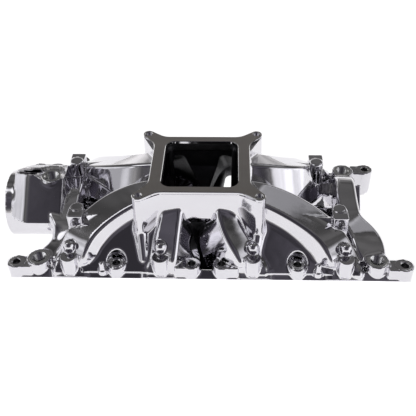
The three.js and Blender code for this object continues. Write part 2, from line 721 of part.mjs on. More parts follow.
// ---- Valley floor and end rails -----------------------------------------------------------------
// Half width of the valley at a height, clear of both flanges.
const innerEdgeY = (z) => INNER_FACE_D * ROOT2 + z - SEAM * ROOT2;

function valleyFloor() {
  const x = END_RAIL_X - END_RAIL_WIDTH / 2 - SEAM;
  const corners = [-x, x].flatMap((px) => [FLOOR_Z, FLOOR_Z + FLOOR_THICKNESS].flatMap((z) => [-1, 1].map(
    (side) => new THREE.Vector3(px, side * innerEdgeY(z), z))));
  return cut(hull(corners), [
    ...allRunners.map((runner) => runnerEnvelope(runner, SEAM)), plenumEnvelope(SEAM)]);
}

function endRail(end) {
  const x = end.sign * END_RAIL_X;
  const corners = [-1, 1].flatMap((edge) => [0, END_RAIL_HEIGHT].flatMap((z) => [-1, 1].map(
    (side) => new THREE.Vector3(x + edge * END_RAIL_WIDTH / 2, side * innerEdgeY(z), z))));
  return hull(corners);
}

// ---- Assembly -----------------------------------------------------------------------------------
const POLISHED = { color: 0xb9bac2, roughness: 0.12, metalness: 1 };
const MACHINED = { color: 0x8c8783, roughness: 0.35, metalness: 1 };
const AS_CAST = { color: 0x86868a, roughness: 0.6, metalness: 1 };

const manifold = new THREE.Group();

function addPart(name, solid, finish) {
  const mesh = new THREE.Mesh(geometryFrom(mainBody(solid)), new THREE.MeshStandardMaterial(finish));
  mesh.name = name;
  manifold.add(mesh);
}

addPart("carb_flange", carbFlange(), MACHINED);
addPart("plenum_box", plenumBox(), POLISHED);
for (const stud of studCorners) {
  addPart(`stud_column_${stud.name}`, cut(studColumn(stud, 0), [plenumEnvelope(SEAM)]), POLISHED);
}
for (const runner of allRunners) {
  addPart(runner.name, runnerTube(runner), POLISHED);
  addPart(runner.name.replace("runner", "injector_boss"), injectorBoss(runner), POLISHED);
}
for (const bank of BANKS) {
  flangeSections().forEach((section, i) => (
    addPart(`head_flange_${bank.name}_${i + 1}`, headFlange(bank, section.from, section.to), POLISHED)));
  ENDS.forEach((end, i) => addPart(`peg_${bank.name}_${end.name}`, peg(bank, PEG_XS[i]), POLISHED));
  for (const end of ENDS) {
    addPart(`rail_post_${bank.name}_${end.name}`, railPost(bank, end), POLISHED);
    addPart(`web_plate_${bank.name}_${end.name}`, webPlate(bank, end), POLISHED);
    addPart(`coolant_boss_${bank.name}_${end.name}`, coolantBoss(bank, end), POLISHED);
  }
}
addPart("thermostat_neck", thermostatNeck(), POLISHED);
for (const side of neckSides()) {
  addPart(`neck_ear_${side.name}`, neckEar(side), POLISHED);
}
addPart("sensor_boss", sensorBoss(), POLISHED);
addPart("coolant_arm_near", frontArm(0), POLISHED);
addPart("coolant_arm_far", frontArm(1), POLISHED);
addPart("rear_crossover", rearCrossover(), POLISHED);
addPart("valley_floor", valleyFloor(), AS_CAST);
for (const end of ENDS) {
  addPart(`end_rail_${end.name}`, endRail(end), AS_CAST);
}

export default manifold;
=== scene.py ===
"""Polished V8 intake manifold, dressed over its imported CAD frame.

The casting is drawn as one continuous signed-distance field, so that runners, walls and bosses flow
into each other through cast fillets, and is then skinned as one piece. Machined lands, threads
and the carburettor pad are separate pieces. Shapes are worked out in millimetres and written to meshes
in metres.
"""
from __future__ import annotations

import logging
import math
from dataclasses import dataclass, field
from enum import Enum
from typing import Callable, Iterable, Sequence

import bpy
import numpy as np
import openvdb as vdb
from mathutils import Matrix, Vector
from mathutils.geometry import tessellate_polygon


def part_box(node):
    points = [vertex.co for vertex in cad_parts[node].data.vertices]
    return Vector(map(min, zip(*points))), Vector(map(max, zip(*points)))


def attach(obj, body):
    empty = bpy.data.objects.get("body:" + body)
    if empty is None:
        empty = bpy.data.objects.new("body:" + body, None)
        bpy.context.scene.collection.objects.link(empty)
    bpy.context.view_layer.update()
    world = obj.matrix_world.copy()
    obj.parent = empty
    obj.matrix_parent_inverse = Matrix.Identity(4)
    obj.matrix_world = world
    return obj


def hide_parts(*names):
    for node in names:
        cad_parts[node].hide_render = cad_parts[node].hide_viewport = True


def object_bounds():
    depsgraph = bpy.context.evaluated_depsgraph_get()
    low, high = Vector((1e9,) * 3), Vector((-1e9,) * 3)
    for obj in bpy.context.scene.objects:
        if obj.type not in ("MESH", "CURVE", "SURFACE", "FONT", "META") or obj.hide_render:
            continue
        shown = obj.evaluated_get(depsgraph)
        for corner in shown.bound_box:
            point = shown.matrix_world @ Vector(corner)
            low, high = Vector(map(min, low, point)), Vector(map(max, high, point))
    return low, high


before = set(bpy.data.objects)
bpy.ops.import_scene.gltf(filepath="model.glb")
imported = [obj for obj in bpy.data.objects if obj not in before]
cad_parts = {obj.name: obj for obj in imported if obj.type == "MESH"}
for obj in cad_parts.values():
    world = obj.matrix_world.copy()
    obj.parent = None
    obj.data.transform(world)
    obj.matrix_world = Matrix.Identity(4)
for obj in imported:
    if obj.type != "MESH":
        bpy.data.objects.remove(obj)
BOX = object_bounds()

LOG = logging.getLogger("intake_manifold")
Array = np.ndarray
Shape = Callable[[Array, Array, Array], Array]

MM = 0.001  # metres in a millimetre
ROOT2 = math.sqrt(2.0)
FAR_AWAY = 40.0  # field value where nothing is near, in millimetres
BODY = "root"
FULL_PITCH = 1.9  # cell of the skin, in millimetres


class Side(Enum):
    """The two banks of cylinders, by the sign of Y."""

    NEAR = -1
    FAR = 1


class End(Enum):
    """The two ends of the engine, by the sign of X; the thermostat neck is at the front."""

    FRONT = -1
    REAR = 1


class Slot(Enum):
    """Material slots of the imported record."""

    POLISHED = "polished_casting"
    MACHINED = "machined_face"
    CAST = "as_cast"


# ---- Signed-distance shapes ---------------------------------------------------------------------
def soft_min(a: Array, b: Array, width: float) -> Array:
    """Lower of two fields, rounded where they are closer than width."""
    near = np.maximum(width - np.abs(a - b), 0.0) / width
    return np.minimum(a, b) - near**3 * (width / 6.0)


def soft_max(a: Array, b: Array, width: float) -> Array:
    """Higher of two fields, rounded where they are closer than width."""
    return -soft_min(-a, -b, width)


def ramp(value: Array, low: float, high: float) -> Array:
    """Smooth step from 0 at low to 1 at high."""
    t = np.clip((value - low) / (high - low), 0.0, 1.0)
    return t * t * (3.0 - 2.0 * t)


def upright(x0: float, y0: float, low: float, high: float, foot: float, top: float, edge: float) -> Shape:
    """Vertical cone or cylinder with a softened rim.

    Args:
        x0, y0: Place of the axis.
        low, high: Heights of the two flats.
        foot, top: Radii at those heights.
        edge: Width of the softening at both rims.

    Returns:
        The field.
    """
    slope = (top - foot) / (high - low)
    lean = 1.0 / math.hypot(1.0, slope)

    def shape(x: Array, y: Array, z: Array) -> Array:
        side = (np.hypot(x - x0, y - y0) - foot - slope * (z - low)) * lean
        return soft_max(side, np.maximum(low - z, z - high), edge)

    return shape


def dome(x0: float, y0: float, low: float, high: float, radius: float) -> Shape:
    """Vertical pin with a half-ball at each end, high at the very top."""

    def shape(x: Array, y: Array, z: Array) -> Array:
        rest = z - np.clip(z, low + radius, high - radius)
        return np.sqrt((x - x0) ** 2 + (y - y0) ** 2 + rest**2) - radius

    return shape


def along_x(low: float, high: float, y0: float, z0: float, radius: float, edge: float) -> Shape:
    """Cylinder along X with softened rims."""

    def shape(x: Array, y: Array, z: Array) -> Array:
        side = np.hypot(y - y0, z - z0) - radius
        return soft_max(side, np.maximum(low - x, x - high), edge)

    return shape


def capsule(start: Sequence[float], end: Sequence[float], r0: float, r1: float) -> Shape:
    """Round bar between two points, its radius going from r0 to r1."""
    a, b = np.array(start, float), np.array(end, float)
    run = b - a
    span = float(run @ run)

    def shape(x: Array, y: Array, z: Array) -> Array:
        t = np.clip(((x - a[0]) * run[0] + (y - a[1]) * run[1] + (z - a[2]) * run[2]) / span, 0.0, 1.0)
        gap = (x - a[0] - t * run[0]) ** 2 + (y - a[1] - t * run[1]) ** 2 + (z - a[2] - t * run[2]) ** 2
        return np.sqrt(gap) - r0 - (r1 - r0) * t

    return shape


def block(low: Sequence[float], high: Sequence[float], edge: float) -> Shape:
    """Box along the axes with rounded edges."""
    middle = [(a + b) / 2 for a, b in zip(low, high)]
    half = [(b - a) / 2 - edge for a, b in zip(low, high)]

    def shape(x: Array, y: Array, z: Array) -> Array:
        q = [np.abs(v - m) - h for v, m, h in zip((x, y, z), middle, half)]
        outside = np.sqrt(sum(np.maximum(v, 0.0) ** 2 for v in q))
        return outside + np.minimum(np.maximum(np.maximum(q[0], q[1]), q[2]), 0.0) - edge

    return shape


@dataclass(frozen=True)
class Spline:
    """Natural cubic through evenly spaced rows of numbers, read at any parameter."""

    rows: Array

    def bends(self) -> Array:
        """Second derivatives at the rows."""
        n = len(self.rows)
        system = np.eye(n)
        right = np.zeros_like(self.rows)
        for i in range(1, n - 1):
            system[i, i - 1 : i + 2] = (1.0, 4.0, 1.0)
            right[i] = 6.0 * (self.rows[i - 1] - 2.0 * self.rows[i] + self.rows[i + 1])
        return np.linalg.solve(system, right)

    def at(self, u: Array, bends: Array) -> tuple[Array, Array]:
        """Values and first derivatives at parameters u.

        Args:
            u: Parameters from 0 to the number of rows less one.
            bends: The result of bends().

        Returns:
            Rows of values and rows of derivatives.
        """
        i = np.clip(u.astype(int), 0, len(self.rows) - 2)
        b = (u - i)[:, None]
        a = 1.0 - b
        y0, y1, m0, m1 = self.rows[i], self.rows[i + 1], bends[i], bends[i + 1]
        value = a * y0 + b * y1 + ((a**3 - a) * m0 + (b**3 - b) * m1) / 6.0
        rate = y1 - y0 + ((1.0 - 3.0 * a**2) * m0 + (3.0 * b**2 - 1.0) * m1) / 6.0
        return value, rate


@dataclass(frozen=True)
class Station:
    """One cross-section of a duct: the middle of its roof, its width and height, and its outward tilt."""

    at: tuple[float, float, float]
    width: float
    height: float
    tilt: float = 0.0


@dataclass(frozen=True)
class Duct:
    """A rounded section hung below a roof line, swept smoothly through its stations.

    The flanks lean out by slant for each millimetre down, and the outboard one by outboard. turn is +1
    or -1 and picks the outboard side, which is also the one that a positive tilt lowers.
    """

    stations: tuple[Station, ...]
    corner: float
    grow: float = 0.0
    slant: float = 0.0
    outboard: float = 0.0
    turn: float = 1.0

    def reach(self) -> float:
        """How far the section's corners can lie from its roof line."""
        lean = max(self.slant, self.outboard)
        return max(math.hypot(s.width / 2 + s.height * lean, s.height) for s in self.stations) + self.grow

    def bounds(self) -> tuple[Array, Array]:
        """Lowest and highest corner that the duct can reach."""
        points = np.array([s.at for s in self.stations])
        wide = max(s.width / 2 + s.height * max(self.slant, self.outboard) for s in self.stations) + 4.0
        deep = max(s.height for s in self.stations)
        return points.min(0) - (wide, wide, deep), points.max(0) + (wide, wide, 4.0)

    def section(self, off: Array, tangent: Array, row: Array) -> Array:
        """Distance to the section for points given from the roof line.

        Args:
            off: Points from the nearest roof point.
            tangent: Unit direction of the roof line there.
            row: Width, height and tilt there.

        Returns:
            The distances.
        """
        across = np.stack([tangent[:, 1], -tangent[:, 0], np.zeros(len(off))], 1) * self.turn
        across /= np.linalg.norm(across, axis=1)[:, None]
        rise = np.cross(across, tangent) * self.turn
        cos, sin = np.cos(row[:, 2]), np.sin(row[:, 2])
        a, b = (off * across).sum(1), (off * rise).sum(1)
        a, b = a * cos - b * sin, b * cos + a * sin
        half = row[:, 1] / 2
        slant = np.where(a > 0, self.outboard, self.slant)
        flank = (np.abs(a) - row[:, 0] / 2 + b * slant) / np.hypot(1.0, slant) - self.grow + self.corner
        flat = np.abs(b + half) - half - self.grow + self.corner
        outside = np.hypot(np.maximum(flank, 0), np.maximum(flat, 0))
        return outside + np.minimum(np.maximum(flank, flat), 0) - self.corner

    def shape(self) -> Shape:
        """The duct's field."""
        rows = np.array([[*s.at, s.width, s.height, math.radians(s.tilt)] for s in self.stations], float)
        spline = Spline(rows)
        bends = spline.bends()
        last = len(rows) - 1.0
        samples = np.linspace(0.0, last, 3 * len(rows) - 2)
        line = spline.at(samples, bends)[0][:, :3]
        reach = self.reach() + 6.0

        def field_of(x: Array, y: Array, z: Array) -> Array:
            x, y, z = np.broadcast_arrays(x, y, z)
            p = np.stack([x.ravel(), y.ravel(), z.ravel()], 1).astype(np.float32)
            best = np.full(len(p), np.inf, np.float32)
            u = np.zeros(len(p), np.float32)
            for s, c in zip(samples, line.astype(np.float32)):
                gap = ((p - c) ** 2).sum(1)
                closer = gap < best
                best = np.where(closer, gap, best)
                u = np.where(closer, np.float32(s), u)
            out = np.sqrt(best).astype(float)
            near = np.flatnonzero(best < reach**2)
            q, v = p[near].astype(float), u[near].astype(float)
            for _ in range(3):
                value, rate = spline.at(v, bends)
                off = q - value[:, :3]
                v = np.clip(v + (off * rate[:, :3]).sum(1) / (rate[:, :3] ** 2).sum(1), 0.0, last)
            value, rate = spline.at(v, bends)
            tangent = rate[:, :3] / np.linalg.norm(rate[:, :3], axis=1)[:, None]
            off = q - value[:, :3]
            flat = self.section(off, tangent, value[:, 3:])
            past = np.abs((off * tangent).sum(1))
            out[near] = np.where(past > 0.5, np.hypot(np.maximum(flat, 0), past), flat)
            return out.reshape(x.shape)

        return field_of


# ---- The casting --------------------------------------------------------------------------------
@dataclass(frozen=True)
class Step:
    """One shape added to the casting or cut out of it."""

    shape: Shape
    low: Array
    high: Array
    blend: float
    cut: bool

    def merge(self, value: Array, tool: Array) -> Array:
        """The field after this step."""
        if self.cut:
            return soft_max(value, -tool, self.blend)
        return soft_min(value, tool, self.blend)


@dataclass
class Casting:
    """The manifold's body as a list of shapes, in the order a pattern maker would add them."""

    pitch: float
    steps: list[Step] = field(default_factory=list)

    def _note(self, shape: Shape, low: Iterable[float], high: Iterable[float], blend: float,
              cut: bool) -> None:
        """Adds one step with its reach."""
        margin = blend + 3.0 * self.pitch
        low, high = np.array(list(low), float), np.array(list(high), float)
        self.steps.append(Step(shape, low - margin, high + margin, blend, cut))

    def add(self, shape: Shape, low: Iterable[float], high: Iterable[float], fillet: float = 3.0) -> None:
        """Joins a shape on with a fillet."""
        self._note(shape, low, high, fillet, False)

    def cut(self, shape: Shape, low: Iterable[float], high: Iterable[float], edge: float = 1.0) -> None:
        """Cuts a shape out, with a softened edge."""
        self._note(shape, low, high, edge, True)

    def add_post(self, x: float, y: float, low: float, high: float, foot: float, top: float,
                 edge: float = 1.5, fillet: float = 3.0) -> None:
        """Joins a vertical cone on."""
        r = max(foot, top)
        self.add(upright(x, y, low, high, foot, top, edge), (x - r, y - r, low), (x + r, y + r, high), fillet)

    def drill(self, x: float, y: float, low: float, high: float, radius: float, edge: float = 1.0) -> None:
        """Drills a vertical hole."""
        self.cut(upright(x, y, low, high, radius, radius, edge), (x - radius, y - radius, low),
                 (x + radius, y + radius, high), edge)

    def grid(self, low: Array, high: Array) -> Array:
        """The field on a regular grid between two corners."""
        axes = [np.arange(a, b + self.pitch, self.pitch) for a, b in zip(low, high)]
        value = np.full([len(a) for a in axes], FAR_AWAY, np.float32)
        for step in self.steps:
            cells = tuple(slice(*np.searchsorted(a, (lo, hi)))
                          for a, lo, hi in zip(axes, step.low, step.high))
            if min(c.stop - c.start for c in cells) < 1:
                continue
            x, y, z = (a[c].astype(np.float32) for a, c in zip(axes, cells))
            tool = step.shape(x[:, None, None], y[None, :, None], z[None, None, :])
            value[cells] = step.merge(value[cells], tool)
        return value

    def reach(self, points: Array) -> list[Array]:
        """Which points each step can touch."""
        return [np.flatnonzero(((points > s.low) & (points < s.high)).all(1)) for s in self.steps]

    def value(self, points: Array, reach: list[Array]) -> Array:
        """The field at scattered points."""
        out = np.full(len(points), FAR_AWAY)
        for step, members in zip(self.steps, reach):
            if len(members):
                p = points[members]
                out[members] = step.merge(out[members], step.shape(p[:, 0], p[:, 1], p[:, 2]))
        return out

    def slope(self, points: Array, reach: list[Array], span: float) -> Array:
        """Gradient of the field by central differences."""
        out = np.zeros_like(points)
        for axis in range(3):
            shift = np.zeros(3)
            shift[axis] = span
            rise = self.value(points + shift, reach) - self.value(points - shift, reach)
            out[:, axis] = rise / (2 * span)
        return out

    def skin(self, low: Array, high: Array) -> tuple[Array, Array, Array]:
        """The casting's surface.

        Args:
            low, high: Corners of the space to mesh, in millimetres.

        Returns:
            Points, quads and the surface normal at each point.
        """
        volume = vdb.FloatGrid(FAR_AWAY)
        volume.copyFromArray(self.grid(low, high))
        points, quads = volume.convertToQuads(isovalue=0.0)
        points = points.astype(float) * self.pitch + low
        reach = self.reach(points)
        for _ in range(2):
            rise = self.slope(points, reach, 0.15)
            size = np.maximum((rise**2).sum(1), 0.2)
            step = self.value(points, reach) / size
            points -= rise * np.clip(step, -self.pitch / 2, self.pitch / 2)[:, None]
        normals = self.slope(points, reach, 0.3)
        normals /= np.maximum(np.linalg.norm(normals, axis=1), 1e-6)[:, None]
        return points, quads, normals


@dataclass(frozen=True)
class Bank:
    """One cylinder bank: d runs square out of its ports and t up its head face."""

    side: Side
    x: float

    def point(self, x: float, d: float, t: float) -> tuple[float, float, float]:
        """A place given from the bank's own middle."""
        return self.x + x, self.side.value * (d + t) / ROOT2, (t - d) / ROOT2

    def d(self, y: Array, z: Array) -> Array:
        """Distance out of the ports."""
        return (self.side.value * y - z) / ROOT2

    def t(self, y: Array, z: Array) -> Array:
        """Distance up the head face."""
        return (self.side.value * y + z) / ROOT2

    def y(self, distance: float) -> float:
        """A distance from the centreline as a Y of this bank."""
        return self.side.value * distance


@dataclass(frozen=True)
class Layout:
    """Driving dimensions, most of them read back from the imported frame."""

    carb_x: float
    deck_z: float
    banks: tuple[Bank, Bank]
    inner_port: float = 55.6
    outer_port: float = 166.9
    mating_d: float = 51.0 / ROOT2
    inner_d: float = 35.0 / ROOT2
    edge_t: float = 118.1
    roof_t: float = 122.0
    half_width: float = 109.0
    spot_z: float = 74.0

    @staticmethod
    def read() -> "Layout":
        """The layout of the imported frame."""
        low, high = (np.array(v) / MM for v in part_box("carb_flange"))
        banks = []
        for side, node in ((Side.NEAR, "injector_boss_near"), (Side.FAR, "injector_boss_far")):
            first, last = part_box(f"{node}_1"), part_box(f"{node}_4")
            banks.append(Bank(side, (first[0].x + last[1].x) / 2 / MM))
        return Layout((low[0] + high[0]) / 2, high[2], (banks[0], banks[1]))

    def port_x(self, bank: Bank, end: End, outer: bool) -> float:
        """X of a port's middle."""
        return bank.x + end.value * (self.outer_port if outer else self.inner_port)


@dataclass(frozen=True)
class StudPattern:
    """The carburettor pad's outline: a square pad with four ears on flared webs."""

    layout: Layout
    half_x: float = 61.9
    half_y: float = 59.2
    stud_x: float = 71.45
    stud_y: float = 65.9
    ear_r: float = 7.5
    root_x: float = 50.0
    root_y: float = 42.0
    root_r: float = 16.5
    corner: float = 2.0

    def studs(self) -> list[tuple[float, float]]:
        """Middles of the four stud holes."""
        return [(self.layout.carb_x + sx * self.stud_x, sy * self.stud_y) for sx in (-1, 1) for sy in (-1, 1)]

    def pad(self, x: Array, y: Array) -> Array:
        """Plan distance to the square pad."""
        a = np.abs(x - self.layout.carb_x) - self.half_x + self.corner
        b = np.abs(y) - self.half_y + self.corner
        return np.hypot(np.maximum(a, 0), np.maximum(b, 0)) + np.minimum(np.maximum(a, b), 0) - self.corner

    def ear(self, x: Array, y: Array) -> Array:
        """Plan distance to the nearest ear and its flared web."""
        run = np.array([self.root_x - self.stud_x, self.root_y - self.stud_y])
        length = float(np.hypot(*run))
        run /= length
        px, py = np.abs(x - self.layout.carb_x) - self.stud_x, np.abs(y) - self.stud_y
        along, across = px * run[0] + py * run[1], np.abs(px * run[1] - py * run[0])
        lean = (self.ear_r - self.root_r) / length
        level = math.sqrt(1.0 - lean * lean)
        key = along * level - across * lean
        tip, foot = np.hypot(along, across) - self.ear_r, np.hypot(along - length, across) - self.root_r
        flank = across * level + along * lean - self.ear_r
        return np.where(key < 0, tip, np.where(key > level * length, foot, flank))

    def outline(self, x: Array, y: Array) -> Array:
        """Plan distance to the whole pad outline."""
        return soft_min(self.pad(x, y), self.ear(x, y), 6.0)


@dataclass(frozen=True)
class PlenumTower:
    """Square tower below the pad, its stud columns and the bowl that hangs between the runners."""

    layout: Layout
    plan: StudPattern
    skirt_z: float = 112.0
    floor_z: float = 58.0
    bowl_x: float = 47.0
    bowl_y: float = 30.0
    wall: float = 6.0
    mouth_x: float = 46.8
    mouth_y: float = 48.0
    mouth_r: float = 12.0
    column_foot_z: float = 90.0
    top_gap: float = 3.2

    def tower(self, x: Array, y: Array, z: Array) -> Array:
        """Field of the square tower and its bowl."""
        share = np.clip((z - self.floor_z) / (self.skirt_z - self.floor_z), 0.0, 1.0)
        half_x = self.bowl_x + (self.plan.half_x - self.bowl_x) * share
        half_y = self.bowl_y + (self.plan.half_y - self.bowl_y) * share
        a = np.abs(x - self.layout.carb_x) - half_x
        b = np.abs(y) - half_y
        side = soft_max(a, b, 5.0) * 0.88
        return soft_max(side, np.maximum(self.floor_z - z, z - self.layout.deck_z + self.top_gap), 0.6)

    def columns(self, x: Array, y: Array, z: Array) -> Array:
        """Field of the four stud columns and their webs."""
        grow = 1.6 * ramp(z, self.layout.deck_z - 12.0, self.column_foot_z)
        ear = self.plan.ear(x, y) - grow
        return soft_max(ear, np.maximum(self.column_foot_z - z, z - self.layout.deck_z + self.top_gap), 0.6)

    def mouth(self, x: Array, y: Array, z: Array) -> Array:
        """Field of the square mouth."""
        a = np.abs(x - self.layout.carb_x) - self.mouth_x + self.mouth_r
        b = np.abs(y) - self.mouth_y + self.mouth_r
        flat = np.hypot(np.maximum(a, 0), np.maximum(b, 0)) + np.minimum(np.maximum(a, b), 0) - self.mouth_r
        return np.maximum(flat, self.skirt_z - z)

    def hollow(self, x: Array, y: Array, z: Array) -> Array:
        """Field of the plenum chamber below the mouth."""
        share = np.clip((z - self.floor_z) / (self.skirt_z - self.floor_z), 0.0, 1.0)
        half_x = self.bowl_x + (self.mouth_x + 3.0 - self.bowl_x + self.wall) * share - self.wall
        half_y = self.bowl_y + (self.mouth_y + 3.0 - self.bowl_y + self.wall) * share - self.wall
        side = soft_max(np.abs(x - self.layout.carb_x) - half_x, np.abs(y) - half_y, 16.0)
        return soft_max(side, np.maximum(self.floor_z + self.wall - z, z - self.layout.deck_z + 14.0), 8.0)

    def pour(self, casting: Casting) -> None:
        """Adds the tower to the casting."""
        plan = self.plan
        reach = (plan.stud_x + 10.0, plan.stud_y + 10.0)
        low = (self.layout.carb_x - reach[0], -reach[1], self.floor_z)
        high = (self.layout.carb_x + reach[0], reach[1], self.layout.deck_z)
        casting.add(self.tower, low, high, 2.0)
        casting.add(self.columns, low, high, 4.0)
        for x, y in plan.studs():
            in_x, out_y = (-4.0 if x > self.layout.carb_x else 4.0), (1.0 if y > 0 else -1.0)
            start, end = (x, y, 99.0), (x + in_x, y + out_y * 25.0, 74.0)
            casting.add(capsule(start, end, 8.5, 5.0), (x - 14.0, min(y, end[1]) - 9.0, 65.0),
                        (x + 14.0, max(y, end[1]) + 9.0, 108.0), 3.0)

    def rib(self, casting: Casting) -> None:
        """Adds the rough ribs left standing in the chamber's corners."""
        out_x, out_y, foot_r, tip_r = 43.0, 46.0, 5.0, 4.0
        low, high = self.floor_z + 14.0, self.layout.deck_z - 12.0
        for sx in (-1, 1):
            for sy in (-1, 1):
                x, y = self.layout.carb_x + sx * out_x, sy * out_y
                casting.add(capsule((x, y, low), (x, y, high), foot_r, tip_r),
                            (x - foot_r, y - foot_r, low - foot_r), (x + foot_r, y + foot_r, high + tip_r), 3.0)

    def hollow_out(self, casting: Casting) -> None:
        """Cuts the mouth and the chamber."""
        x = self.layout.carb_x
        low = (x - self.mouth_x - 6.0, -self.mouth_y - 6.0, self.floor_z)
        high = (x + self.mouth_x + 6.0, self.mouth_y + 6.0, self.layout.deck_z + 4.0)
        casting.cut(self.hollow, low, high, 2.0)
        casting.cut(self.mouth, low, high, 1.0)


@dataclass(frozen=True)
class Runner:
    """One intake runner, from the plenum to its port."""

    layout: Layout
    bank: Bank
    end: End
    outer: bool
    wall: float = 5.0

    def _at(self, x: float, y: float, z: float, follow: float) -> tuple[float, float, float]:
        """A station's place; follow is its share of the way from the carburettor to the bank's middle."""
        middle = self.layout.carb_x + (self.bank.x - self.layout.carb_x) * follow
        return middle + self.end.value * x, self.bank.y(y), z

    def _on_face(self, x: float, d: float, t: float, follow: float) -> tuple[float, float, float]:
        """A station given in the head face's own directions."""
        return self._at(x, (d + t) / ROOT2, (t - d) / ROOT2, follow)

    def stations(self) -> tuple[Station, ...]:
        """Cross-sections from the plenum outwards, given by the middle of the roof."""
        lay = self.layout
        if self.outer:
            return (
                Station(self._at(45.0, 32.0, 139.5, 0.0), 34.0, 40.0, 5.0),
                Station(self._at(72.0, 35.0, 135.6, 0.05), 36.0, 44.0, 8.0),
                Station(self._at(91.8, 39.5, 130.4, 0.12), 37.0, 47.0, 9.0),
                Station(self._at(109.0, 46.0, 124.3, 0.25), 38.0, 48.0, 9.0),
                Station(self._at(128.0, 56.0, 116.2, 0.45), 38.0, 50.0, 8.0),
                Station(self._at(146.0, 69.0, 106.5, 0.7), 38.0, 52.0, 5.0),
                Station(self._at(158.5, 83.0, 94.5, 0.88), 38.0, 53.0, 2.0),
                Station(self._on_face(lay.outer_port, 14.0, lay.roof_t, 1.0), 38.0, 54.0, 0.0),
                Station(self._on_face(lay.outer_port, 29.0, lay.roof_t - 2.5, 1.0), 39.0, 54.0, 0.0),
                Station(self._on_face(lay.outer_port, 44.0, lay.roof_t - 5.0, 1.0), 39.0, 54.0, 0.0),
            )
        return (
            Station(self._on_face(33.0, -54.0, 132.0, 0.0), 26.0, 52.0),
            Station(self._on_face(35.0, -40.0, 131.5, 0.0), 27.0, 54.0),
            Station(self._on_face(41.0, -20.0, 130.5, 0.3), 29.0, 56.0),
            Station(self._on_face(49.0, 0.0, 128.5, 0.8), 31.0, 56.0),
            Station(self._on_face(54.5, 15.0, 125.0, 1.0), 34.0, 54.0),
            Station(self._on_face(lay.inner_port, 29.0, 120.0, 1.0), 38.0, 54.0),
            Station(self._on_face(lay.inner_port, 44.0, 116.0, 1.0), 39.0, 52.0),
        )

    def duct(self, grow: float) -> Duct:
        """The runner, grown or shrunk."""
        slant, outboard, corner = (0.34, 0.42, 3.5) if self.outer else (0.22, 0.22, 5.0)
        turn = -float(self.bank.side.value * self.end.value)
        return Duct(self.stations(), corner, grow, slant, outboard, turn)

    def pour(self, casting: Casting) -> None:
        """Adds the runner's outside."""
        duct = self.duct(0.0)
        casting.add(duct.shape(), *duct.bounds(), 6.0)

    def hollow_out(self, casting: Casting) -> None:
        """Cuts the passage."""
        duct = self.duct(-self.wall)
        casting.cut(duct.shape(), *duct.bounds(), 2.0)


@dataclass(frozen=True)
class InjectorBoss:
    """Undrilled injector boss: a flat-topped stub with a round-topped post leaning on its back."""

    layout: Layout
    bank: Bank
    x: float
    y: float = 98.5
    top_z: float = 85.7
    radius: float = 10.2
    depth: float = 24.0
    dome_back: float = 11.0
    dome_r: float = 7.5
    dome_top_z: float = 99.5

    def pour(self, casting: Casting) -> None:
        """Adds the dome, then the stub in front of it."""
        y = self.bank.y(self.y - self.dome_back)
        casting.add(dome(self.x, y, self.top_z - self.depth, self.dome_top_z, self.dome_r),
                    (self.x - self.dome_r, y - self.dome_r, self.top_z - self.depth),
                    (self.x + self.dome_r, y + self.dome_r, self.dome_top_z), 3.0)
        casting.add_post(self.x, self.bank.y(self.y), self.top_z - self.depth, self.top_z,
                         self.radius, self.radius, 1.0, 2.0)


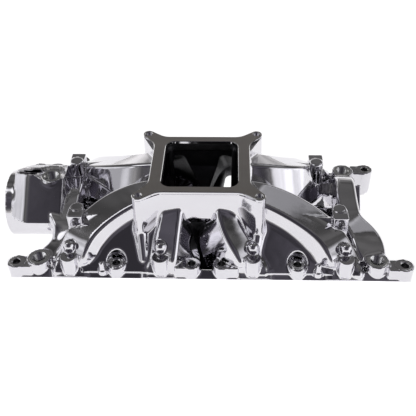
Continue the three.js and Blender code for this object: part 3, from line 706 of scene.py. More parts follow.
@dataclass(frozen=True)
class HeadFlange:
    """Long 45 degree flange along one bank, with its bolt bosses, webs, posts and pegs."""

    layout: Layout
    bank: Bank
    front_bolt: float = -233.0
    rear_bolt: float = 238.4
    bolt_y: float = 97.0
    boss_r: float = 11.0
    hole_r: float = 4.9
    web_t: float = 119.5
    web_in: float = 60.0
    web_out: float = 152.0
    web_d: float = -40.0
    post_x: float = 161.0
    post_back: float = 48.5
    post_front: float = 66.5
    post_z: float = 122.0
    peg_y: float = 104.5
    peg_top: float = 82.0
    peg_r: float = 3.3

    def bolts(self) -> list[float]:
        """X of the six bolts, from the bank's middle."""
        return [self.front_bolt, -110.0, -18.3, 18.3, 110.0, self.rear_bolt]

    def holes(self) -> list[tuple[float, float]]:
        """Middles of the six bolt holes."""
        return [(self.bank.x + x, self.bank.y(self.bolt_y)) for x in self.bolts()]

    def strip(self, x: Array, y: Array, z: Array) -> Array:
        """Field of the slab; its edge steps out a little in front of each port."""
        own = np.abs(x - self.bank.x)
        inner_band = ramp(own, 36.0, 41.0) * ramp(own, 82.0, 75.0)
        outer_band = ramp(own, 142.0, 147.0) * ramp(own, 193.0, 183.0)
        proud = inner_band + outer_band
        d, t = self.bank.d(y, z), self.bank.t(y, z)
        ends = np.maximum(self.bank.x + self.front_bolt + 4.0 - x, x - self.bank.x - self.rear_bolt + 4.0)
        slab = soft_max(d - self.layout.mating_d, self.layout.inner_d - d, 0.8)
        slab = soft_max(slab, t - self.layout.edge_t + 1.5 - 1.5 * proud, 1.6)
        return soft_max(np.maximum(slab, -z), ends, 3.0)

    def web(self, end: End) -> Shape:
        """Field of the plate that closes the gap between two runners."""
        x0 = self.bank.x + end.value * (self.web_in + self.web_out) / 2
        half = (self.web_out - self.web_in) / 2

        def shape(x: Array, y: Array, z: Array) -> Array:
            d, t = self.bank.d(y, z), self.bank.t(y, z)
            flat = np.maximum(t - self.web_t, self.web_t - 7.0 - t)
            return np.maximum(np.maximum(flat, np.abs(x - x0) - half),
                              np.maximum(self.web_d - d, d - self.layout.inner_d - 3.0))

        return shape

    def below(self, x: Array, y: Array, z: Array) -> Array:
        """Field of everything past the mating plane."""
        return self.layout.mating_d - self.bank.d(y, z)

    def pour(self, casting: Casting) -> None:
        """Adds the slab, webs, bosses, posts and pegs."""
        lay, bank = self.layout, self.bank
        x0, x1 = bank.x + self.front_bolt - 14.0, bank.x + self.rear_bolt + 14.0
        y_low, y_high = sorted((bank.y(20.0), bank.y(lay.half_width)))
        casting.add(self.strip, (x0, y_low, 0.0), (x1, y_high, 92.0), 2.0)
        for end in End:
            a, b = sorted((bank.x + end.value * self.web_in, bank.x + end.value * self.web_out))
            casting.add(self.web(end), (a, y_low, 60.0), (b, y_high, 120.0), 5.0)
        for x in self.bolts():
            self._pour_boss(casting, bank.x + x)
        for end in End:
            self._pour_post(casting, bank.x + end.value * self.post_x)
        for x in (-126.5, 134.5):
            self._pour_peg(casting, bank.x + x)

    def _pour_boss(self, casting: Casting, x: float) -> None:
        """Adds one bolt boss; the middle ones are spot-faced into the web."""
        lay, y, own = self.layout, self.bank.y(self.bolt_y), x - self.bank.x
        out = 1.0 if own > 0 else -1.0
        is_end, is_inner = abs(own) > lay.outer_port, abs(own) < lay.inner_port
        foot = 20.0 if is_end else 46.0
        casting.add_post(x, y, foot, lay.spot_z, self.boss_r, self.boss_r, 1.0, 3.0)
        if is_inner or is_end:
            reach = 20.0 * (out if is_inner else -out)
            (a, b), (c, d) = sorted((x, x + reach)), sorted((self.bank.y(87.0), self.bank.y(106.0)))
            casting.add(block((a, c, foot), (b, d, lay.spot_z - 0.4), 1.2),
                        (a, c, foot), (b, d, lay.spot_z), 3.0)
        else:
            r = self.boss_r + 1.0
            casting.cut(upright(x, y, lay.spot_z - 1.5, lay.spot_z + 24.0, r, r + 1.5, 2.0),
                        (x - r, y - r, lay.spot_z - 3.0), (x + r, y + r, lay.spot_z + 24.0), 2.5)
            casting.add_post(x, y, foot, lay.spot_z, self.boss_r - 1.0, self.boss_r - 2.0, 1.2, 1.5)

    def _pour_post(self, casting: Casting, x: float) -> None:
        """Adds one fuel rail post, round at the back and square in front."""
        back, front, half = self.bank.y(self.post_back), self.bank.y(self.post_front), 9.6
        casting.add_post(x, back, 88.0, self.post_z, half, half - 1.0, 4.0, 4.0)
        low, high = sorted((back, front))
        casting.add(block((x - half, low, 88.0), (x + half, high, self.post_z - 1.5), 1.4),
                    (x - half, low, 88.0), (x + half, high, self.post_z), 1.0)

    def _pour_peg(self, casting: Casting, x: float) -> None:
        """Adds one small locating peg on its foot."""
        y = self.bank.y(self.peg_y)
        r = self.peg_r
        casting.add_post(x, y, 62.0, 69.0, 5.5, 5.0, 1.5, 2.0)
        foot = 62.0
        casting.add(dome(x, y, foot, self.peg_top, r), (x - r, y - r, foot), (x + r, y + r, self.peg_top), 2.5)

    def finish_cuts(self, casting: Casting) -> None:
        """Mills the mating plane and drills the bolt holes."""
        lay, bank = self.layout, self.bank
        y_low, y_high = sorted((0.0, bank.y(lay.half_width + 30.0)))
        casting.cut(self.below, (-270.0, y_low, -5.0), (270.0, y_high, 110.0), 0.6)
        for x, y in self.holes():
            casting.drill(x, y, 0.0, lay.spot_z + 10.0, self.hole_r, 0.8)


@dataclass(frozen=True)
class Crossover:
    """Coolant crossover at one end, from one bank's coolant boss to the other's.

    A route's rows are x, distance from the centreline, roof height and width, the first row shared.
    """

    layout: Layout
    end: End
    near_route: tuple[tuple[float, float, float, float], ...]
    far_route: tuple[tuple[float, float, float, float], ...]
    depth: float = 28.0
    boss_x: float = 206.0
    boss_y: float = 91.0
    boss_z: float = 76.0
    boss_r: float = 14.5
    hole_r: float = 8.2

    def holes(self) -> list[tuple[float, float]]:
        """Middles of the two coolant holes."""
        return [(b.x + self.end.value * self.boss_x, b.y(self.boss_y)) for b in self.layout.banks]

    def pour(self, casting: Casting) -> None:
        """Adds both arms as one duct, then the bosses."""
        far = [Station((x, y, z), width, self.depth) for x, y, z, width in reversed(self.far_route)]
        near = [Station((x, -y, z), width, self.depth) for x, y, z, width in self.near_route]
        duct = Duct((*far, *near), 4.5, 0.0, 0.12, 0.12)
        casting.add(duct.shape(), *duct.bounds(), 7.0)
        for x, y in self.holes():
            casting.add_post(x, y, 30.0, self.boss_z, self.boss_r, self.boss_r, 1.5, 3.5)

    def finish_cuts(self, casting: Casting) -> None:
        """Drills the coolant holes."""
        for x, y in self.holes():
            casting.drill(x, y, 34.0, self.boss_z + 10.0, self.hole_r, 0.8)


@dataclass(frozen=True)
class ThermostatNeck:
    """Round neck at the front with its screw ears, fairing and sensor boss."""

    layout: Layout
    face_x: float
    y: float = 15.0
    z: float = 75.2
    radius: float = 43.5
    back_x: float = -184.0
    bore_r: float = 33.0
    sensor_x: float = -197.0
    sensor_y: float = 7.0
    sensor_z: float = 127.0
    sensor_r: float = 12.5
    sensor_foot_r: float = 17.5
    sensor_hole: float = 9.0

    def pour(self, casting: Casting) -> None:
        """Adds the neck, its ears and the sensor boss."""
        r = self.radius
        casting.add(along_x(self.face_x, self.back_x, self.y, self.z, r, 2.0),
                    (self.face_x, self.y - r, self.z - r), (self.back_x, self.y + r, self.z + r), 8.0)
        for side in (-1, 1):
            casting.add(self._shoulder(side), (self.face_x, min(self.y, self.y + side * 60.0), 60.0),
                        (self.back_x + 6.0, max(self.y, self.y + side * 60.0), 118.0), 2.5)
        casting.add_post(self.sensor_x, self.sensor_y, 104.0, self.sensor_z - 1.0, self.sensor_foot_r + 4.0,
                         self.sensor_r, 1.5, 4.0)

    def _shoulder(self, side: int) -> Shape:
        """Screw rail on the neck's shoulder: a sloping top over a sharp lower lip, fading out at the face."""

        def shape(x: Array, y: Array, z: Array) -> Array:
            proud = ramp(x, self.face_x + 6.0, self.face_x + 34.0)
            out, up = side * (y - self.y), z - self.z
            top = out * 0.62 + up * 0.78 - 42.5 - 7.5 * proud
            lip = 14.5 - up
            tip = (self.face_x + 11.0 - x) * 0.7
            ends = np.maximum(np.maximum(tip, x - self.back_x - 4.0), -out)
            return soft_max(soft_max(top, lip, 2.5), ends, 3.0)

        return shape

    def finish_cuts(self, casting: Casting) -> None:
        """Bores the neck and drills the sensor hole."""
        r = self.bore_r
        casting.cut(along_x(self.face_x - 9.0, self.back_x - 8.0, self.y, self.z, r, 1.0),
                    (self.face_x - 9.0, self.y - r, self.z - r), (self.back_x, self.y + r, self.z + r), 1.0)
        casting.drill(self.sensor_x, self.sensor_y, self.sensor_z - 24.0, self.sensor_z + 8.0,
                      self.sensor_hole)


# ---- Finishes -----------------------------------------------------------------------------------
@dataclass(frozen=True)
class MetalFinish:
    """A procedural metal: base colour, roughness and two scales of surface relief."""

    name: str
    colour: tuple[float, float, float]
    tint: tuple[float, float, float]
    roughness: float
    rough_spread: float
    wave_size: float
    wave_depth: float
    grain_size: float
    grain_depth: float
    stretch: tuple[float, float, float] = (1.0, 1.0, 1.0)

    def build(self) -> bpy.types.Material:
        """The material, on Object coordinates in metres."""
        material = bpy.data.materials.new(self.name)
        material.use_nodes = True
        tree = material.node_tree
        shader = tree.nodes["Principled BSDF"]
        shader.inputs["Metallic"].default_value = 1.0
        coords = tree.nodes.new("ShaderNodeTexCoord")
        mapping = tree.nodes.new("ShaderNodeMapping")
        mapping.inputs["Scale"].default_value = self.stretch
        tree.links.new(coords.outputs["Object"], mapping.inputs["Vector"])
        wave = self._noise(tree, mapping, self.wave_size, 2.0)
        grain = self._noise(tree, mapping, self.grain_size, 4.0)
        mix = tree.nodes.new("ShaderNodeMix")
        mix.data_type = "RGBA"
        mix.inputs["A"].default_value = (*self.colour, 1.0)
        mix.inputs["B"].default_value = (*self.tint, 1.0)
        tree.links.new(wave.outputs["Fac"], mix.inputs["Factor"])
        tree.links.new(mix.outputs["Result"], shader.inputs["Base Color"])
        rough = tree.nodes.new("ShaderNodeMapRange")
        rough.inputs["From Min"].default_value = 0.35
        rough.inputs["From Max"].default_value = 0.65
        rough.inputs["To Min"].default_value = max(self.roughness - self.rough_spread, 0.02)
        rough.inputs["To Max"].default_value = self.roughness + self.rough_spread
        tree.links.new(grain.outputs["Fac"], rough.inputs["Value"])
        tree.links.new(rough.outputs["Result"], shader.inputs["Roughness"])
        fine = self._bump(tree, grain, self.grain_depth, None)
        broad = self._bump(tree, wave, self.wave_depth, fine)
        tree.links.new(broad.outputs["Normal"], shader.inputs["Normal"])
        return material

    @staticmethod
    def _noise(tree: bpy.types.NodeTree, mapping: bpy.types.Node, size: float,
               detail: float) -> bpy.types.Node:
        """A noise whose features are about size metres across."""
        node = tree.nodes.new("ShaderNodeTexNoise")
        node.inputs["Scale"].default_value = 1.0 / size
        node.inputs["Detail"].default_value = detail
        tree.links.new(mapping.outputs["Vector"], node.inputs["Vector"])
        return node

    @staticmethod
    def _bump(tree: bpy.types.NodeTree, source: bpy.types.Node, depth: float,
              before: bpy.types.Node | None) -> bpy.types.Node:
        """A bump of depth metres, on top of another."""
        node = tree.nodes.new("ShaderNodeBump")
        node.inputs["Strength"].default_value = 1.0
        node.inputs["Distance"].default_value = depth
        tree.links.new(source.outputs["Fac"], node.inputs["Height"])
        if before is not None:
            tree.links.new(before.outputs["Normal"], node.inputs["Normal"])
        return node


POLISH = MetalFinish("mirror_polished_aluminium", (0.74, 0.73, 0.76), (0.66, 0.65, 0.69),
                     0.07, 0.025, 0.035, 0.00022, 0.0022, 0.0000035)
MILLED = MetalFinish("milled_aluminium", (0.62, 0.585, 0.565), (0.55, 0.52, 0.5),
                     0.34, 0.05, 0.03, 0.00004, 0.0009, 0.00001, (0.25, 2.0, 1.0))
BRIGHT = MetalFinish("bright_cut_edge", (0.86, 0.86, 0.87), (0.8, 0.8, 0.81),
                     0.16, 0.04, 0.01, 0.00002, 0.0006, 0.000008)
# Rough as-cast finish: the roughness is real, the near-black colour is painted shade for the hollows, bores and
# the valley under the casting.
SAND_AND_SHADE = MetalFinish("sand_cast_painted_shade", (0.11, 0.11, 0.115), (0.06, 0.06, 0.065),
                   0.55, 0.12, 0.012, 0.0004, 0.0011, 0.00035)


@dataclass
class Workshop:
    """Builds the materials once and turns arrays into dressed pieces."""

    materials: dict[str, bpy.types.Material] = field(default_factory=dict)

    def material(self, finish: MetalFinish) -> bpy.types.Material:
        """The Blender material of a finish."""
        if finish.name not in self.materials:
            self.materials[finish.name] = finish.build()
        return self.materials[finish.name]

    def link(self, name: str, mesh: bpy.types.Mesh) -> bpy.types.Object:
        """Puts a mesh in the scene as an object at the origin."""
        piece = bpy.data.objects.new(name, mesh)
        bpy.context.scene.collection.objects.link(piece)
        return piece

    def dress(self, piece: bpy.types.Object, slot: Slot, nodes: Sequence[str] = ()) -> None:
        """Fixes a finished piece to the body and hides the nodes that it stands for."""
        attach(piece, BODY)
        if nodes:
            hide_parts(*nodes)
        LOG.info("%s: %d faces, stands for %d nodes", piece.name, len(piece.data.polygons), len(nodes))


@dataclass
class ManifoldBody:
    """The whole polished casting."""

    layout: Layout
    workshop: Workshop
    pitch: float

    def runners(self) -> list[Runner]:
        """The eight runners."""
        lay = self.layout
        return [Runner(lay, bank, end, outer) for bank in lay.banks for end in End for outer in (False, True)]

    def neck(self) -> ThermostatNeck:
        """The thermostat neck."""
        return ThermostatNeck(self.layout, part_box("thermostat_neck")[0].x / MM)

    def crossovers(self) -> list[Crossover]:
        """The front and rear coolant crossovers."""
        lay = self.layout
        return [
            Crossover(lay, End.FRONT,
                      ((-184.0, 8.0, 103.0, 46.0), (-178.0, 34.0, 98.0, 36.0), (-174.0, 52.0, 91.0, 29.0),
                       (-178.0, 70.0, 81.0, 30.0), (-196.0, 86.0, 73.0, 27.0)),
                      ((-185.0, 12.0, 103.0, 46.0), (-188.0, 34.0, 100.0, 44.0), (-202.0, 60.0, 93.0, 38.0),
                       (-215.0, 80.0, 78.0, 30.0))),
            Crossover(lay, End.REAR,
                      ((187.0, 12.0, 94.0, 27.0), (189.0, 32.0, 93.0, 29.0), (199.0, 52.0, 89.0, 36.0),
                       (206.0, 70.0, 82.0, 38.0), (210.0, 86.0, 74.0, 32.0)),
                      ((188.0, 12.0, 94.0, 26.0), (190.0, 40.0, 94.0, 25.0), (192.0, 60.0, 88.0, 26.0),
                       (194.0, 80.0, 74.0, 27.0))),
        ]

    def bores(self) -> list[tuple[float, float, float, float]]:
        """Every vertical drilled hole as x, y, radius and height of its mouth."""
        neck = self.neck()
        out = [(neck.sensor_x, neck.sensor_y, neck.sensor_hole, neck.sensor_z)]
        for bank in self.layout.banks:
            flange = HeadFlange(self.layout, bank)
            out += [(x, y, flange.hole_r, self.layout.spot_z) for x, y in flange.holes()]
        for crossover in self.crossovers():
            out += [(x, y, crossover.hole_r, crossover.boss_z) for x, y in crossover.holes()]
        return out

    def casting(self) -> Casting:
        """All shapes of the casting, in order."""
        lay = self.layout
        body = Casting(self.pitch)
        plan = StudPattern(lay)
        tower = PlenumTower(lay, plan)
        runners = self.runners()
        flanges = [HeadFlange(lay, bank) for bank in lay.banks]
        crossovers = self.crossovers()
        neck = self.neck()
        tower.pour(body)
        for runner in runners:
            runner.pour(body)
        for crossover in crossovers:
            crossover.pour(body)
        neck.pour(body)
        for flange in flanges:
            flange.pour(body)
        for runner in runners:
            InjectorBoss(lay, runner.bank, lay.port_x(runner.bank, runner.end, runner.outer)).pour(body)
        for runner in runners:
            runner.hollow_out(body)
        tower.hollow_out(body)
        tower.rib(body)
        for part in (*flanges, *crossovers, neck):
            part.finish_cuts(body)
        return body

    def _mark_rough_and_shade(self, mesh: bpy.types.Mesh, points: Array, quads: Array) -> None:
        """Gives the rough sand-cast finish to what the polishing wheels can't reach; its near-black colour is
        painted shade in those hollows.
        """
        lay = self.layout
        middle = points[quads].mean(1)
        x, y, z = np.abs(middle[:, 0] - lay.carb_x), np.abs(middle[:, 1]), middle[:, 2]
        # Chamber, valley, bores and runner passages take the dark finish: rough as cast, and darkened as
        # painted shade in these recesses.
        chamber = (x < 54.0) & (y < 54.5) & (z < lay.deck_z - 3.3) & (z > 60.0)
        valley = (y < 24.0 + z * 0.3) & (z < 66.0) & (np.abs(middle[:, 0]) < 165.0)
        rough = chamber | valley
        for hole_x, hole_y, radius, top in self.bores():
            inside = np.hypot(middle[:, 0] - hole_x, middle[:, 1] - hole_y) < radius + 0.5
            rough |= inside & (z < top - 1.0)
        for runner in self.runners():
            duct = runner.duct(-2.5)
            low, high = duct.bounds()
            near = np.flatnonzero(((middle > low) & (middle < high)).all(1) & ~rough)
            p = middle[near]
            rough[near[duct.shape()(p[:, 0], p[:, 1], p[:, 2]) < 0]] = True
        mesh.polygons.foreach_set("material_index", rough.astype(np.int32))

    def build(self) -> bpy.types.Object:
        """Skins the casting and dresses it."""
        low, high = (np.array(v) / MM for v in BOX)
        margin = 2.0 * self.pitch
        points, quads, normals = self.casting().skin(low - margin, high + margin)
        points = np.clip(points, low, high)
        mesh = bpy.data.meshes.new("polished_casting")
        mesh.from_pydata((points * MM).tolist(), [], quads.tolist())
        mesh.polygons.foreach_set("use_smooth", [True] * len(mesh.polygons))
        mesh.materials.append(self.workshop.material(POLISH))
        mesh.materials.append(self.workshop.material(SAND_AND_SHADE))
        self._mark_rough_and_shade(mesh, points, quads)
        mesh.normals_split_custom_set_from_vertices(normals.tolist())
        piece = self.workshop.link("polished_casting", mesh)
        kept = {"carb_flange", "valley_floor", "end_rail_front", "end_rail_rear"}
        self.workshop.dress(piece, Slot.POLISHED, sorted(set(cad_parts) - kept))
        return piece


@dataclass
class Rims:
    """Machined faces round drilled holes: one turned ring, set on every hole of a kind by Geometry Nodes."""

    name: str
    holes: list[tuple[float, float]]
    top_z: float
    bore_r: float
    rim_r: float
    depth: float
    chamfer: float
    thread: float
    workshop: Workshop
    sides: int = 48

    def _profile(self) -> list[tuple[float, float]]:
        """Closed section of the ring as radius and height, thread grooves on its bore."""
        c, r = self.chamfer, self.bore_r
        section = [(self.rim_r, -self.depth), (self.rim_r, -c * 0.6), (self.rim_r - c * 0.6, 0.0), (r + c, 0.0),
                   (r, -c)]
        turns = int((self.depth - c - 0.5) / self.thread) if self.thread else 0
        for i in range(turns):
            z = -c - self.thread * i
            section += [(r, z - 0.1), (r + self.thread * 0.5, z - self.thread * 0.5)]
        return section + [(r, -self.depth)]

    def _tree(self, ring: bpy.types.Object) -> bpy.types.NodeTree:
        """The node tree: the ring instanced on each point, realized and given its material."""
        tree = bpy.data.node_groups.new(f"{self.name}_tree", "GeometryNodeTree")
        face = tree.interface
        face.new_socket("Geometry", in_out="INPUT", socket_type="NodeSocketGeometry")
        face.new_socket("Ring", in_out="INPUT", socket_type="NodeSocketObject")
        face.new_socket("Size", in_out="INPUT", socket_type="NodeSocketFloat").default_value = 1.0
        face.new_socket("Finish", in_out="INPUT", socket_type="NodeSocketMaterial")
        face.new_socket("Geometry", in_out="OUTPUT", socket_type="NodeSocketGeometry")
        kinds = ("NodeGroupInput", "GeometryNodeObjectInfo", "GeometryNodeInstanceOnPoints",
                 "GeometryNodeRealizeInstances", "GeometryNodeSetMaterial", "NodeGroupOutput")
        start, info, copies, real, dress, end = (tree.nodes.new(kind) for kind in kinds)
        link = tree.links.new
        link(start.outputs["Ring"], info.inputs["Object"])
        link(start.outputs["Geometry"], copies.inputs["Points"])
        link(info.outputs["Geometry"], copies.inputs["Instance"])
        link(start.outputs["Size"], copies.inputs["Scale"])
        link(copies.outputs["Instances"], real.inputs["Geometry"])
        link(real.outputs["Geometry"], dress.inputs["Geometry"])
        link(start.outputs["Finish"], dress.inputs["Material"])
        link(dress.outputs["Geometry"], end.inputs["Geometry"])
        return tree

    def _ring(self) -> bpy.types.Object:
        """The turned ring at the origin."""
        profile = self._profile()
        n, points, faces = len(profile), [], []
        for k in range(self.sides):
            a = math.tau * k / self.sides
            points += [(r * math.cos(a) * MM, r * math.sin(a) * MM, z * MM) for r, z in profile]
            near, far = k * n, (k + 1) % self.sides * n
            faces += [(near + i, far + i, far + (i + 1) % n, near + (i + 1) % n) for i in range(n)]
        mesh = bpy.data.meshes.new(f"{self.name}_ring")
        mesh.from_pydata(points, [], faces)
        return self.workshop.link(f"{self.name}_ring", mesh)

    def build(self) -> bpy.types.Object:
        """Makes the rings of one kind as a plain mesh."""
        ring = self._ring()
        mesh = bpy.data.meshes.new(self.name)
        mesh.from_pydata([(x * MM, y * MM, self.top_z * MM) for x, y in self.holes], [], [])
        seeds = self.workshop.link(f"{self.name}_seeds", mesh)
        modifier = seeds.modifiers.new("rings", "NODES")
        modifier.node_group = self._tree(ring)
        sockets = {s.name: s.identifier for s in modifier.node_group.interface.items_tree
                   if s.item_type == "SOCKET" and s.in_out == "INPUT"}
        modifier[sockets["Ring"]] = ring
        modifier[sockets["Size"]] = 1.0
        modifier[sockets["Finish"]] = self.workshop.material(BRIGHT)
        depsgraph = bpy.context.evaluated_depsgraph_get()
        made = bpy.data.meshes.new_from_object(seeds.evaluated_get(depsgraph))
        seeds.modifiers.clear()
        bpy.data.objects.remove(seeds)
        bpy.data.objects.remove(ring)
        made.name = self.name
        piece = self.workshop.link(self.name, made)
        self.workshop.dress(piece, Slot.MACHINED)
        return piece


@dataclass
class CarbPad:
    """The milled carburettor pad: a thin plate whose cut edges shine."""

    plan: StudPattern
    tower: PlenumTower
    workshop: Workshop
    thickness: float = 3.4
    chamfer: float = 0.7
    hole_r: float = 3.9
    hole_chamfer: float = 1.4
    arc_steps: int = 20

    def _arc(self, x: float, y: float, radius: float, start: float, end: float, steps: int) -> list[Vector]:
        """Points along an arc."""
        angles = [math.radians(start + (end - start) * i / steps) for i in range(steps + 1)]
        return [Vector((x + radius * math.cos(a), y + radius * math.sin(a))) for a in angles]

    def outline(self) -> list[Vector]:
        """The outer edge, anticlockwise, from a quarter mirrored round."""
        plan, fillet = self.plan, 7.0
        side_back, top_back = 17.0, 12.0
        tip = Vector((plan.stud_x, plan.stud_y))
        side = Vector((plan.half_x, plan.half_y - side_back))
        top = Vector((plan.half_x - top_back, plan.half_y))
        quarter: list[Vector] = []
        for corner, before in ((side, True), (top, False)):
            reach = tip - corner
            angle = math.degrees(math.atan2(reach.y, reach.x))
            turn = math.degrees(math.asin(plan.ear_r / reach.length)) * (-1.0 if before else 1.0)
            touch = angle + turn
            out = math.radians(touch)
            run = Vector((math.cos(out), math.sin(out)))
            square = Vector((0.0, 1.0)) if before else Vector((1.0, 0.0))
            bend = [corner - square * fillet * (1 - t) ** 2 + run * fillet * t**2
                    for t in np.linspace(0, 1, 6)]
            if before:
                quarter += bend
                start = touch - 90.0
            else:
                quarter += self._arc(tip.x, tip.y, plan.ear_r, start, touch + 90.0, self.arc_steps)
                quarter += bend[::-1]
        points = list(quarter)
        points += [Vector((-v.x, v.y)) for v in reversed(quarter)]
        points += [Vector((-v.x, -v.y)) for v in quarter]
        points += [Vector((v.x, -v.y)) for v in reversed(quarter)]
        return [v + Vector((plan.layout.carb_x, 0.0)) for v in points]

    def mouth(self) -> list[Vector]:
        """The square mouth's edge, anticlockwise."""
        t, x = self.tower, self.plan.layout.carb_x
        dx, dy = t.mouth_x - t.mouth_r, t.mouth_y - t.mouth_r
        points: list[Vector] = []
        for i, (sx, sy) in enumerate(((1, 1), (-1, 1), (-1, -1), (1, -1))):
            points += self._arc(x + sx * dx, sy * dy, t.mouth_r, 90.0 * i, 90.0 * i + 90.0, self.arc_steps)
        return points

    @staticmethod
    def _inset(points: list[Vector], distance: float) -> list[Vector]:
        """The outline moved to its left by distance, so inwards if it runs anticlockwise."""
        out = []
        for i, point in enumerate(points):
            before, after = points[i - 1], points[(i + 1) % len(points)]
            run = (after - before).normalized()
            out.append(point + Vector((-run.y, run.x)) * distance)
        return out

    def build(self) -> bpy.types.Object:
        """Makes the plate."""
        top = self.plan.layout.deck_z
        low = top - self.thickness
        loops = [(self.outline(), self.chamfer, False), (self.mouth(), self.chamfer, True)]
        for x, y in self.plan.studs():
            loops.append((self._arc(x, y, self.hole_r, 0.0, 360.0 - 360.0 / 32, 31), self.hole_chamfer, True))
        points: list[Vector] = []
        faces: list[tuple[int, ...]] = []
        kinds: list[int] = []
        tops, bottoms = [], []
        for loop, chamfer, is_hole in loops:
            edge = self._inset(loop, -chamfer if is_hole else chamfer)
            rings = ((loop, low), (loop, top - chamfer), (edge, top))
            base, n = len(points), len(loop)
            for ring, z in rings:
                points += [Vector((v.x, v.y, z)) for v in ring]
            for row in range(2):
                for i in range(n):
                    a, b = base + row * n + i, base + row * n + (i + 1) % n
                    quad = (a, b, b + n, a + n)
                    faces.append(quad[::-1] if is_hole else quad)
                    kinds.append(row)
            tops.append([base + 2 * n + i for i in range(n)])
            bottoms.append([base + i for i in range(n)])
        for rings, flip in ((tops, False), (bottoms, True)):
            flat = [[points[i] for i in ring] for ring in rings]
            order = [i for ring in rings for i in ring]
            for tri in tessellate_polygon(flat):
                a, b, c = (points[order[i]] for i in tri)
                up = (b - a).cross(c - a).z > 0
                face = tuple(order[i] for i in tri)
                faces.append(face if up != flip else face[::-1])
                kinds.append(2)
        mesh = bpy.data.meshes.new("carburettor_pad")
        mesh.from_pydata([v * MM for v in points], [], faces)
        for finish in (POLISH, BRIGHT, MILLED):
            mesh.materials.append(self.workshop.material(finish))
        mesh.polygons.foreach_set("material_index", kinds)
        piece = self.workshop.link("carburettor_pad", mesh)
        self.workshop.dress(piece, Slot.MACHINED, ["carb_flange"])
        return piece


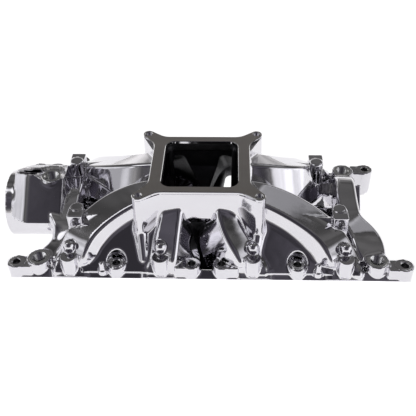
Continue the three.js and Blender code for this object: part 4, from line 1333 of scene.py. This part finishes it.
# ---- Studio -------------------------------------------------------------------------------------
@dataclass(frozen=True)
class Studio:
    """Camera, floor and light."""

    eye: tuple[float, float, float] = (0.033742, -0.644895, 0.617294)
    yaw: float = -0.044
    pitch: float = 0.694
    roll: float = -0.020
    lens: float = 54.94
    sensor: float = 36.0
    clutter_scale: float = 3.2

    def camera(self) -> None:
        """The camera, looking down at the near bank."""
        forward = Vector((math.sin(self.yaw) * math.cos(self.pitch), math.cos(self.yaw) * math.cos(self.pitch),
                          -math.sin(self.pitch)))
        right = forward.cross(Vector((0, 0, 1))).normalized()
        up = right.cross(forward)
        tilted = right * math.cos(self.roll) + up * math.sin(self.roll)
        above = up * math.cos(self.roll) - right * math.sin(self.roll)
        data = bpy.data.cameras.new("view")
        data.lens, data.sensor_width = self.lens, self.sensor
        data.clip_start, data.clip_end = 0.01, 50.0
        eye = bpy.data.objects.new("view", data)
        turn = Matrix((tilted, above, -forward)).transposed().to_4x4()
        eye.matrix_world = Matrix.Translation(self.eye) @ turn
        bpy.context.scene.collection.objects.link(eye)
        bpy.context.scene.camera = eye

    def floor(self) -> None:
        """A plain pale floor."""
        mesh = bpy.data.meshes.new("floor")
        mesh.from_pydata([(-6, -6, 0), (6, -6, 0), (6, 6, 0), (-6, 6, 0)], [], [(0, 1, 2, 3)])
        material = bpy.data.materials.new("pale_floor")
        material.use_nodes = True
        shader = material.node_tree.nodes["Principled BSDF"]
        shader.inputs["Base Color"].default_value = (0.9, 0.9, 0.9, 1.0)
        shader.inputs["Roughness"].default_value = 0.9
        shader.inputs["Emission Color"].default_value = (1.0, 1.0, 1.0, 1.0)
        shader.inputs["Emission Strength"].default_value = 0.85
        mesh.materials.append(material)
        floor = bpy.data.objects.new("floor", mesh)
        bpy.context.scene.collection.objects.link(floor)

    def world(self) -> None:
        """A light tent: white near the horizon, greyer overhead, dark where the camera stands."""
        world = bpy.data.worlds.new("light_tent")
        bpy.context.scene.world = world
        world.use_nodes = True
        tree = world.node_tree
        back = tree.nodes["Background"]
        coords = tree.nodes.new("ShaderNodeTexCoord")
        split = tree.nodes.new("ShaderNodeSeparateXYZ")
        tree.links.new(coords.outputs["Generated"], split.inputs["Vector"])
        height = tree.nodes.new("ShaderNodeValToRGB")
        stops = ((0.0, 0.95), (0.10, 0.85), (0.26, 0.42), (0.48, 0.14), (0.78, 0.10), (1.0, 0.16))
        elements = height.color_ramp.elements
        for place, value in stops[1:-1]:
            elements.new(place)
        for element, (place, value) in zip(elements, stops):
            element.position = place
            element.color = (value, value * 0.985, value * 0.97, 1.0)
        tree.links.new(split.outputs["Z"], height.inputs["Fac"])
        colour = height.outputs["Color"]
        panels = (
            ((0.05, -0.77, 0.64), 0.70, 0.88, (0.085, 0.080, 0.095)),
            ((-0.93, -0.30, 0.22), 0.86, 0.92, (1.1, 1.1, 1.13)),
            ((0.93, -0.34, 0.20), 0.86, 0.92, (1.1, 1.1, 1.13)),
            ((-0.50, -0.10, 0.86), 0.975, 0.988, (1.1, 1.1, 1.12)),
            ((0.45, 0.50, 0.74), 0.975, 0.985, (0.8, 0.8, 0.82)),
        )
        for aim, outer, inner, shade in panels:
            colour = self._panel(tree, coords, colour, aim, outer, inner, shade)
        colour = self._clutter(tree, coords, colour)
        tree.links.new(colour, back.inputs["Color"])
        back.inputs["Strength"].default_value = 1.0

    @staticmethod
    def _panel(tree: bpy.types.NodeTree, coords: bpy.types.Node, before: bpy.types.NodeSocket,
               aim: tuple[float, float, float], outer: float, inner: float,
               shade: tuple[float, float, float]) -> bpy.types.NodeSocket:
        """A round panel of light, or a dark one, hung in one direction of the tent."""
        dot = tree.nodes.new("ShaderNodeVectorMath")
        dot.operation = "DOT_PRODUCT"
        dot.inputs[1].default_value = Vector(aim).normalized()
        tree.links.new(coords.outputs["Generated"], dot.inputs[0])
        share = tree.nodes.new("ShaderNodeMapRange")
        share.interpolation_type = "SMOOTHSTEP"
        share.inputs["From Min"].default_value = outer
        share.inputs["From Max"].default_value = inner
        tree.links.new(dot.outputs["Value"], share.inputs["Value"])
        mix = tree.nodes.new("ShaderNodeMix")
        mix.data_type = "RGBA"
        tree.links.new(share.outputs["Result"], mix.inputs["Factor"])
        tree.links.new(before, mix.inputs["A"])
        mix.inputs["B"].default_value = (*shade, 1.0)
        return mix.outputs["Result"]

    def _clutter(self, tree: bpy.types.NodeTree, coords: bpy.types.Node,
                 before: bpy.types.NodeSocket) -> bpy.types.NodeSocket:
        """Soft unevenness, as of things standing round the tent, that keeps reflections from being flat."""
        noise = tree.nodes.new("ShaderNodeTexNoise")
        noise.inputs["Scale"].default_value = self.clutter_scale
        noise.inputs["Detail"].default_value = 3.0
        tree.links.new(coords.outputs["Generated"], noise.inputs["Vector"])
        span = tree.nodes.new("ShaderNodeMapRange")
        span.inputs["From Min"].default_value = 0.38
        span.inputs["From Max"].default_value = 0.62
        span.inputs["To Min"].default_value = 0.45
        span.inputs["To Max"].default_value = 1.35
        tree.links.new(noise.outputs["Fac"], span.inputs["Value"])
        scale = tree.nodes.new("ShaderNodeVectorMath")
        scale.operation = "SCALE"
        tree.links.new(before, scale.inputs[0])
        tree.links.new(span.outputs["Result"], scale.inputs["Scale"])
        return scale.outputs["Vector"]

    def build(self) -> None:
        """Sets the studio up."""
        bpy.context.scene.view_settings.view_transform = "Standard"
        self.camera()
        self.floor()
        self.world()


def main() -> None:
    """Builds and dresses the manifold, then the studio."""
    logging.basicConfig(level=logging.INFO, format="%(name)s: %(message)s")
    layout = Layout.read()
    workshop = Workshop()
    body = ManifoldBody(layout, workshop, FULL_PITCH)
    body.build()
    plan = StudPattern(layout)
    CarbPad(plan, PlenumTower(layout, plan), workshop).build()
    flanges = [HeadFlange(layout, bank) for bank in layout.banks]
    bolts = [hole for flange in flanges for hole in flange.holes()]
    coolant = [hole for crossover in body.crossovers() for hole in crossover.holes()]
    neck = body.neck()
    Rims(name="bolt_spot_faces", holes=bolts, top_z=layout.spot_z + 0.2, bore_r=4.7, rim_r=8.4,
         depth=1.6, chamfer=0.8, thread=0.0, workshop=workshop).build()
    Rims(name="coolant_threads", holes=coolant, top_z=Crossover.boss_z + 0.2, bore_r=7.6, rim_r=12.6,
         depth=16.0, chamfer=1.2, thread=1.6, workshop=workshop).build()
    Rims(name="sensor_threads", holes=[(neck.sensor_x, neck.sensor_y)], top_z=neck.sensor_z, bore_r=8.3,
         rim_r=12.7, depth=16.0, chamfer=1.2, thread=1.6, workshop=workshop).build()
    # The valley floor and end rails under the casting take the same dark finish, its near-black colour being
    # painted shade where they lie beneath it.
    for name in ("valley_floor", "end_rail_front", "end_rail_rear"):
        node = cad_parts[name]
        node.data.materials.clear()
        node.data.materials.append(workshop.material(SAND_AND_SHADE))
    Studio().build()


if __name__ == "__main__":
    main()
